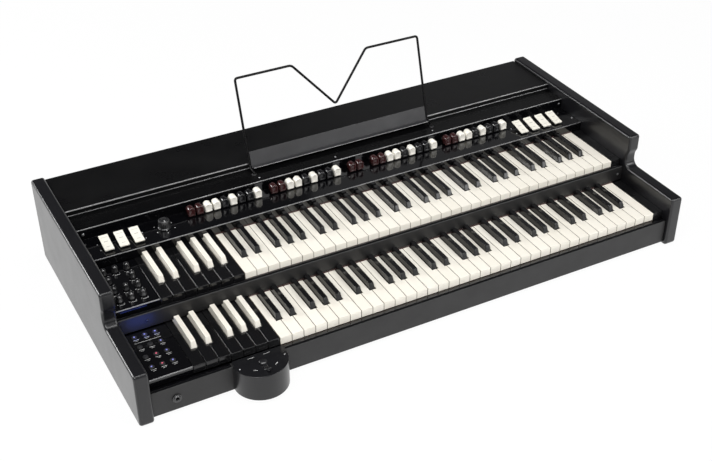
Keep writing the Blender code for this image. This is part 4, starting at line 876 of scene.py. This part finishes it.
def small_knobs():
    """The knobs of the knob panel on their board, with the volume knob as a piece that turns."""
    z = Z_UPPER_KEY_TOP + KNOB_LIFT
    z_board = Z_UPPER_KEY_TOP - SHEET - POT_HEIGHT - POT_GAP - BOARD_SHEET
    half = POT_SIZE / 2
    caps, lines, pots = bmesh.new(), bmesh.new(), bmesh.new()
    volume, volume_line = bmesh.new(), bmesh.new()
    low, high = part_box("knob_board")
    add_box(pots, low, (high.x, high.y, z_board + BOARD_SHEET))
    for where, x, y in knob_places():
        if where == VOLUME_KNOB:
            cap, line, (pot_top, shaft_foot) = volume, volume_line, VOLUME_POT
        else:
            cap, line, (pot_top, shaft_foot) = caps, lines, FIXED_POT
        add_box(pots, (x - half, y - half, z_board + POT_FOOT),
                (x + half, y + half, Z_UPPER_KEY_TOP - pot_top))
        small_knob(cap, x, y, z)
        shaft(cap, x, y, Z_UPPER_KEY_TOP - shaft_foot, z + SHAFT_REACH)
        knob_line(line, x, y, z + KNOB_HEIGHT)
    knob = piece("volume_cap", volume, "knob", "volume", smooth=45.0)
    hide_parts("volume_knob")
    piece("volume_mark", volume_line, "mark", "volume")
    board = piece("knob_pots", pots, "circuit", "case")
    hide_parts("knob_board")
    piece("small_knobs", caps, "knob", "case", smooth=45.0)
    piece("small_knob_marks", lines, "mark", "case")


def button_places():
    return [(x, y) for _, x, y in grid(BUTTON_FIRST, BUTTON_PITCH)]


def lit_buttons():
    """Rubber buttons on one mat, each with a lens in its crown."""
    z_top = Z_LOWER_KEY_TOP + BUTTON_PROUD
    z_mat = Z_LOWER_KEY_TOP - SHEET - MAT_GAP
    places = button_places()
    mat = bmesh.new()
    add_box(mat, (places[0][0] - MAT_MARGIN, places[0][1] - MAT_MARGIN, z_mat - MAT_THICK),
            (places[-1][0] + MAT_MARGIN, places[-1][1] + MAT_MARGIN, z_mat))
    button = [(BUTTON_RADIUS, z_mat - MAT_GAP)]
    button += [(BUTTON_RADIUS - inset, z_top - depth) for inset, depth in BUTTON_CROWN]
    button.append((LENS_RADIUS, z_top - BUTTON_HOLLOW))
    crown = [(LENS_RADIUS * share, z_top + height) for share, height in LENS_CROWN]
    lenses = {}
    for (x, y), light in zip(places, BUTTON_LIGHTS):
        turned(mat, (x, y, 0.0), button, steps=28)
        turned(lenses.setdefault(light, bmesh.new()), (x, y, 0.0), crown, steps=24)
    rubber = piece("button_rubber", mat, "rubber", "buttons", smooth=45.0)
    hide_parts("button_mat")
    for light, shape in lenses.items():
        piece(f"lenses_{light}", shape, light, "buttons", smooth=60.0)


def vibrato_knob():
    """Fluted rotary knob with a pointer on its skirt and on its dished top."""
    x, y = VIBRATO_AT
    z = Z_FLOOR + KNOB_LIFT
    r, r_top, top = VIBRATO_RADIUS, VIBRATO_TOP_RADIUS, z + VIBRATO_HEIGHT
    shape = bmesh.new()
    profile = [(r - inset, z + height) for inset, height in VIBRATO_SKIRT]
    profile.append(((r + r_top) / 2 - VIBRATO_WAIST, z + VIBRATO_HEIGHT * VIBRATO_WAIST_RISE))
    profile += [(r_top - inset, top - depth) for inset, depth in VIBRATO_RIM]
    profile += [(radius, top - depth) for radius, depth in VIBRATO_DISH]
    turned(shape, (x, y, 0.0), profile, steps=72, flutes=VIBRATO_FLUTES)
    shaft(shape, x, y, Z_FLOOR - VIBRATO_SHAFT_FOOT, z + SHAFT_REACH)
    knob = piece("vibrato_cap", shape, "knob", "vibrato", smooth=45.0)
    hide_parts("vibrato_knob")
    pointer = bmesh.new()
    for radius, height, (half, start, end, low, high) in ((r, z, SKIRT_POINTER), (r_top, top, TOP_POINTER)):
        add_box(pointer, (x - half, y - radius + start, height + low),
                (x + half, y - radius + end, height + high))
    piece("vibrato_mark", pointer, "mark", "vibrato", edge=0.0001)


# Printed marks and screws

def bar(shape, x, y, z, length, width=MARK_WIDTH, angle=0.0):
    add_block(shape, Matrix.Translation((x, y, z)) @ Matrix.Rotation(angle, 4, "Z"),
              (length, width, MARK_THICK))


def panel_marks():
    """Plain printed bars and dots where the controls have their scales."""
    shape = bmesh.new()
    for _, x, y in knob_places():
        for dx, dy, length, width in KNOB_MARKS:
            bar(shape, x + dx, y + dy, Z_UPPER_KEY_TOP, length, width)
    for x, y in button_places():
        for dx, dy, length, width in BUTTON_MARKS:
            bar(shape, x + dx, y + dy, Z_LOWER_KEY_TOP, length, width)
    dx, dy, length = BUTTON_RULE
    bar(shape, BUTTON_FIRST[0] + dx, BUTTON_FIRST[1] + dy, Z_LOWER_KEY_TOP, length)
    x, y = VIBRATO_AT
    for position in range(VIBRATO_POSITIONS):
        turn = 2 * math.pi * position / VIBRATO_POSITIONS
        turned(shape, (x + VIBRATO_DOTS * math.sin(turn), y + VIBRATO_DOTS * math.cos(turn), 0.0),
               ((DOT_RADIUS, Z_FLOOR - DOT_PROUD), (DOT_RADIUS, Z_FLOOR + DOT_PROUD)), steps=12)
    wide, deep, shift = LEVER_MARK_ARC
    for angle in LEVER_MARK_ANGLES:
        turn = math.radians(angle)
        bar(shape, HALF_MOON_X + wide * math.sin(turn), LEVER_Y - deep * math.cos(turn) + shift,
            HALF_MOON_TOP, *LEVER_MARK, turn)
    for dx, dy in SWITCH_BARS:
        bar(shape, HALF_MOON_X + dx, LEVER_Y + dy, HALF_MOON_TOP, SWITCH_BAR)
    piece("panel_marks", shape, "mark", "case")


def screw(shape, place, radius, axis="Z"):
    """A round screw head with a cross recess, raised a little over its face."""
    side = -1.0 if axis == "-Y" else 1.0
    rise = side * SCREW_RISE
    head = [(radius, -side * SCREW_SINK)]
    head += [(radius * share, rise * height) for share, height in SCREW_HEAD]
    head.append((SCREW_TIP, rise))
    turned(shape, place, head, steps=20, axis=axis[-1])
    length, width, thick = radius * SCREW_CROSS[0], radius * SCREW_CROSS[1], SCREW_CROSS[2]
    if axis == "Z":
        offset, size = Vector((0.0, 0.0, rise)), (length, width, thick)
    else:
        offset, size = Vector((0.0, rise, 0.0)), (length, thick, width)
    middle = Matrix.Translation(Vector(place) + offset)
    for turn in (SCREW_TURN, SCREW_TURN + math.pi / 2):
        add_block(shape, middle @ Matrix.Rotation(turn, 4, axis[-1]), size)


def screws():
    """The screws that the front shows, one of them in shade and so a dark one."""
    dark = bmesh.new()
    screw(dark, DARK_RAIL_SCREW, UPRIGHT_SCREW, "-Y")
    piece("rail_screw", dark, "black", "case", smooth=50.0)
    shape = bmesh.new()
    for place in (*FASCIA_SCREWS, RAIL_SCREW):
        screw(shape, place, UPRIGHT_SCREW, "-Y")
    for place in STRIP_SCREWS:
        screw(shape, (*place, Z_STRIP), STRIP_SCREW)
    screw(shape, (*FLOOR_SCREW_AT, Z_FLOOR), FLOOR_SCREW)
    for x in (TAB_X[0] - TAB_SCREW_X, TAB_X[2] + TAB_SCREW_X, TAB_X[3] - TAB_SCREW_X, TAB_X[6] + TAB_SCREW_X):
        for y in (TAB_Y - TAB_SCREW_Y, TAB_Y + TAB_SCREW_Y):
            screw(shape, (x, y, Z_FLOOR), TAB_SCREW)
    for dx, dy in HALF_MOON_SCREWS:
        screw(shape, (HALF_MOON_X + dx, HALF_MOON_Y + dy, HALF_MOON_TOP), HALF_MOON_SCREW)
    piece("front_screws", shape, "screw", "case", smooth=50.0)


# Half-moon switch and headphone socket

def half_moon_lever():
    """A flat lever with a round hub and a raised finger grip."""
    x, y, z = HALF_MOON_X, LEVER_Y, HALF_MOON_TOP + LEVER_LIFT
    shape = bmesh.new()
    turned(shape, (x, y, z), LEVER_HUB, steps=32)
    shaft(shape, x, y, z + LEVER_SHAFT[0], z + LEVER_SHAFT[1])
    rings = []
    crown, rise = LEVER_CROWN
    for along, half, low, high in LEVER_RINGS:
        ring = ((-half, low), (half, low), (half, high), (half * crown, high + rise),
                (-half * crown, high + rise), (-half, high))
        rings.append([(x + a, y - along, z + b) for a, b in ring])
    loft(shape, rings)
    lever = piece("switch_lever", shape, "knob", "half_moon_switch", smooth=45.0)
    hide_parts("half_moon_lever")


def headphone_ring():
    """Nut round the headphone socket."""
    shape = bmesh.new()
    collar(shape, (SOCKET_AT[0], SOCKET_NUT_Y, SOCKET_AT[1]), SOCKET_NUT, axis="Y")
    piece("headphone_nut", shape, "knob", "case", smooth=50.0)


# Music stand

def stand_point(x, along):
    """A point on the tilted plane of the stand, a distance above its lower bend."""
    return Vector((x, STAND_BEND_Y + along * math.sin(STAND_TILT),
                   STAND_BEND_Z + along * math.cos(STAND_TILT)))


def bent(points):
    """The points with each corner turned into a smooth bend."""
    path = [points[0]]
    for before, corner, after in zip(points, points[1:], points[2:]):
        reach = min(STAND_CORNER, (before - corner).length / STAND_CORNER_SHARE,
                    (after - corner).length / STAND_CORNER_SHARE)
        start = corner + (before - corner).normalized() * reach
        end = corner + (after - corner).normalized() * reach
        for step in range(STAND_CORNER_STEPS + 1):
            t = step / STAND_CORNER_STEPS
            path.append(start.lerp(corner, t).lerp(corner.lerp(end, t), t))
    return path + [points[-1]]


def music_stand():
    """The stand's bent wire, a pale bead along its ledge as a painted highlight, and the grommets round its
    feet.
    """
    left, right = STAND_FEET
    middle = (left + right) / 2
    side = [Vector((left, STAND_FOOT_Y, Z_STRIP - STAND_FOOT_DEPTH)),
            Vector((left, STAND_FOOT_Y, Z_STRIP + WIRE_RADIUS)), stand_point(left, 0.0),
            stand_point(left, STAND_HEIGHT), stand_point(middle - STAND_NOTCH_HALF, STAND_HEIGHT)]
    other = [Vector((2 * middle - p.x, p.y, p.z)) for p in reversed(side)]
    path = bent(side + [stand_point(middle, STAND_NOTCH_BOTTOM)] + other)
    curve = bpy.data.curves.new("stand_wire", "CURVE")
    curve.dimensions = "3D"
    curve.bevel_depth = WIRE_RADIUS
    curve.bevel_resolution = WIRE_RESOLUTION
    curve.use_fill_caps = True
    spline = curve.splines.new("POLY")
    spline.points.add(len(path) - 1)
    for point, place in zip(spline.points, path):
        point.co = (*place, 1.0)
    curve.materials.append(FINISHES["stand"])
    wire = added("stand_wire", curve)
    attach(wire, "music_stand")
    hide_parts("music_stand_wire")
    # Pale bead on the ledge's front edge: a painted highlight
    ledge = bead((left + LEDGE_BEAD_GAP, right - LEDGE_BEAD_GAP),
                 STAND_BEND_Y - PLATE_LEDGE + LEDGE_BEAD_SHIFT[0],
                 STAND_BEND_Z + PLATE_THICK + LEDGE_BEAD_SHIFT[1], LEDGE_BEAD)
    piece("stand_ledge_edge", ledge, "edge", "music_stand", smooth=60.0)
    grommets = bmesh.new()
    for x in STAND_FEET:
        collar(grommets, (x, STAND_FOOT_Y, Z_STRIP), GROMMET, steps=32)
    piece("stand_grommets", grommets, "rubber", "case", smooth=50.0)


# Rear

def rear_fittings():
    """Nuts round the jacks, and screws on the connector plate and the back panel."""
    nuts, heads = bmesh.new(), bmesh.new()
    for n in range(JACKS):
        x = CONNECTOR_X + (n - (JACKS - 1) / 2) * JACK_PITCH
        collar(nuts, (x, REAR_FACE, REAR_Z), JACK_NUT, axis="Y")
    piece("jack_nuts", nuts, "chrome", "case", smooth=50.0)
    dx, dz = (size / 2 - inset for size, inset in zip(CONNECTOR_SIZE, PLATE_SCREW_INSET))
    for x in (CONNECTOR_X - dx, CONNECTOR_X + dx):
        for z in (REAR_Z - dz, REAR_Z + dz):
            screw(heads, (x, REAR_FACE, z), PLATE_SCREW, "Y")
    for x in BACK_SCREW_X:
        for z in BACK_SCREW_Z:
            screw(heads, (x, Y_BACK - BACK_SCREW_DEPTH, z), BACK_SCREW, "Y")
    piece("rear_screws", heads, "screw", "case", smooth=50.0)


# Stage, lights and camera

def stage():
    """A pale floor, plain white to glossy and transmission rays and nearly so to the camera."""
    floor = bmesh.new()
    bmesh.ops.create_grid(floor, x_segments=1, y_segments=1, size=FLOOR_HALF)
    data = mesh_of("floor", floor)
    look = bpy.data.materials.new("floor_paper")
    look.use_nodes = True
    tree = look.node_tree
    surface(tree, Base_Color=FLOOR_COLOR, Roughness=FLOOR_ROUGHNESS)
    ray = node(tree, "LightPath").outputs
    bounced = reckoned(tree, "MAXIMUM", ray["Is Glossy Ray"], ray["Is Transmission Ray"])
    direct = reckoned(tree, "MULTIPLY", ray["Is Camera Ray"], FLOOR_GLOW)
    choose = node(tree, "MixShader", Fac=reckoned(tree, "ADD", bounced, direct))
    feed(tree, choose.inputs[1], tree.nodes["Principled BSDF"].outputs["BSDF"])
    feed(tree, choose.inputs[2], node(tree, "Emission").outputs["Emission"])
    feed(tree, tree.nodes["Material Output"].inputs["Surface"], choose.outputs["Shader"])
    data.materials.append(look)
    added("floor", data)


def world():
    """A studio with a pale wall all round and a darker ceiling, the same for every kind of ray."""
    made = bpy.data.worlds.new("studio")
    bpy.context.scene.world = made
    made.use_nodes = True
    tree = made.node_tree
    rise = component(tree, node(tree, "TexCoord").outputs["Generated"], "Z")
    height = mapped(tree, rise, 0.0, 1.0, (WALL_TOP, CEILING_FROM))
    feed(tree, tree.nodes["Background"].inputs["Color"], mixed(tree, height, WALL, CEILING))


def lamp(name, place, size, power, target=LAMP_TARGET, color=(1.0, 1.0, 1.0)):
    """A soft rectangular lamp, turned towards its target."""
    data = bpy.data.lights.new(name, "AREA")
    data.shape = "RECTANGLE"
    data.size, data.size_y = size
    data.energy = power
    data.color = color
    made = added(name, data)
    made.location = place
    made.rotation_euler = (Vector(target) - Vector(place)).to_track_quat("-Z", "Y").to_euler()
    made.visible_camera = False


def camera():
    """The photograph's camera, as fitted to the lines of the keys and the casework."""
    data = bpy.data.cameras.new("camera")
    data.sensor_width = SENSOR_WIDTH
    data.lens = FOCAL_PIXELS * SENSOR_WIDTH / PHOTO_WIDTH
    data.shift_x = (PHOTO_WIDTH / 2 - OPTICAL_CENTRE[0]) / PHOTO_WIDTH
    data.shift_y = (OPTICAL_CENTRE[1] - PHOTO_HEIGHT / 2) / PHOTO_WIDTH
    made = added("camera", data)
    forward = Vector((math.sin(CAMERA_AZIMUTH) * math.cos(CAMERA_ELEVATION),
                      math.cos(CAMERA_AZIMUTH) * math.cos(CAMERA_ELEVATION), -math.sin(CAMERA_ELEVATION)))
    turn = forward.to_track_quat("-Z", "Y").to_matrix().to_4x4()
    made.matrix_world = Matrix.Translation(CAMERA_PLACE) @ turn @ Matrix.Rotation(CAMERA_ROLL, 4, "Z")
    bpy.context.scene.camera = made


casework()
front_edges()
keys()
felt_strips()
key_slips()
drawbars()
tabs()
small_knobs()
lit_buttons()
vibrato_knob()
panel_marks()
screws()
half_moon_lever()
headphone_ring()
music_stand()
rear_fittings()
stage()
world()
for setting in LAMPS:
    lamp(*setting)
camera()
bpy.context.scene.view_settings.view_transform = "Standard"
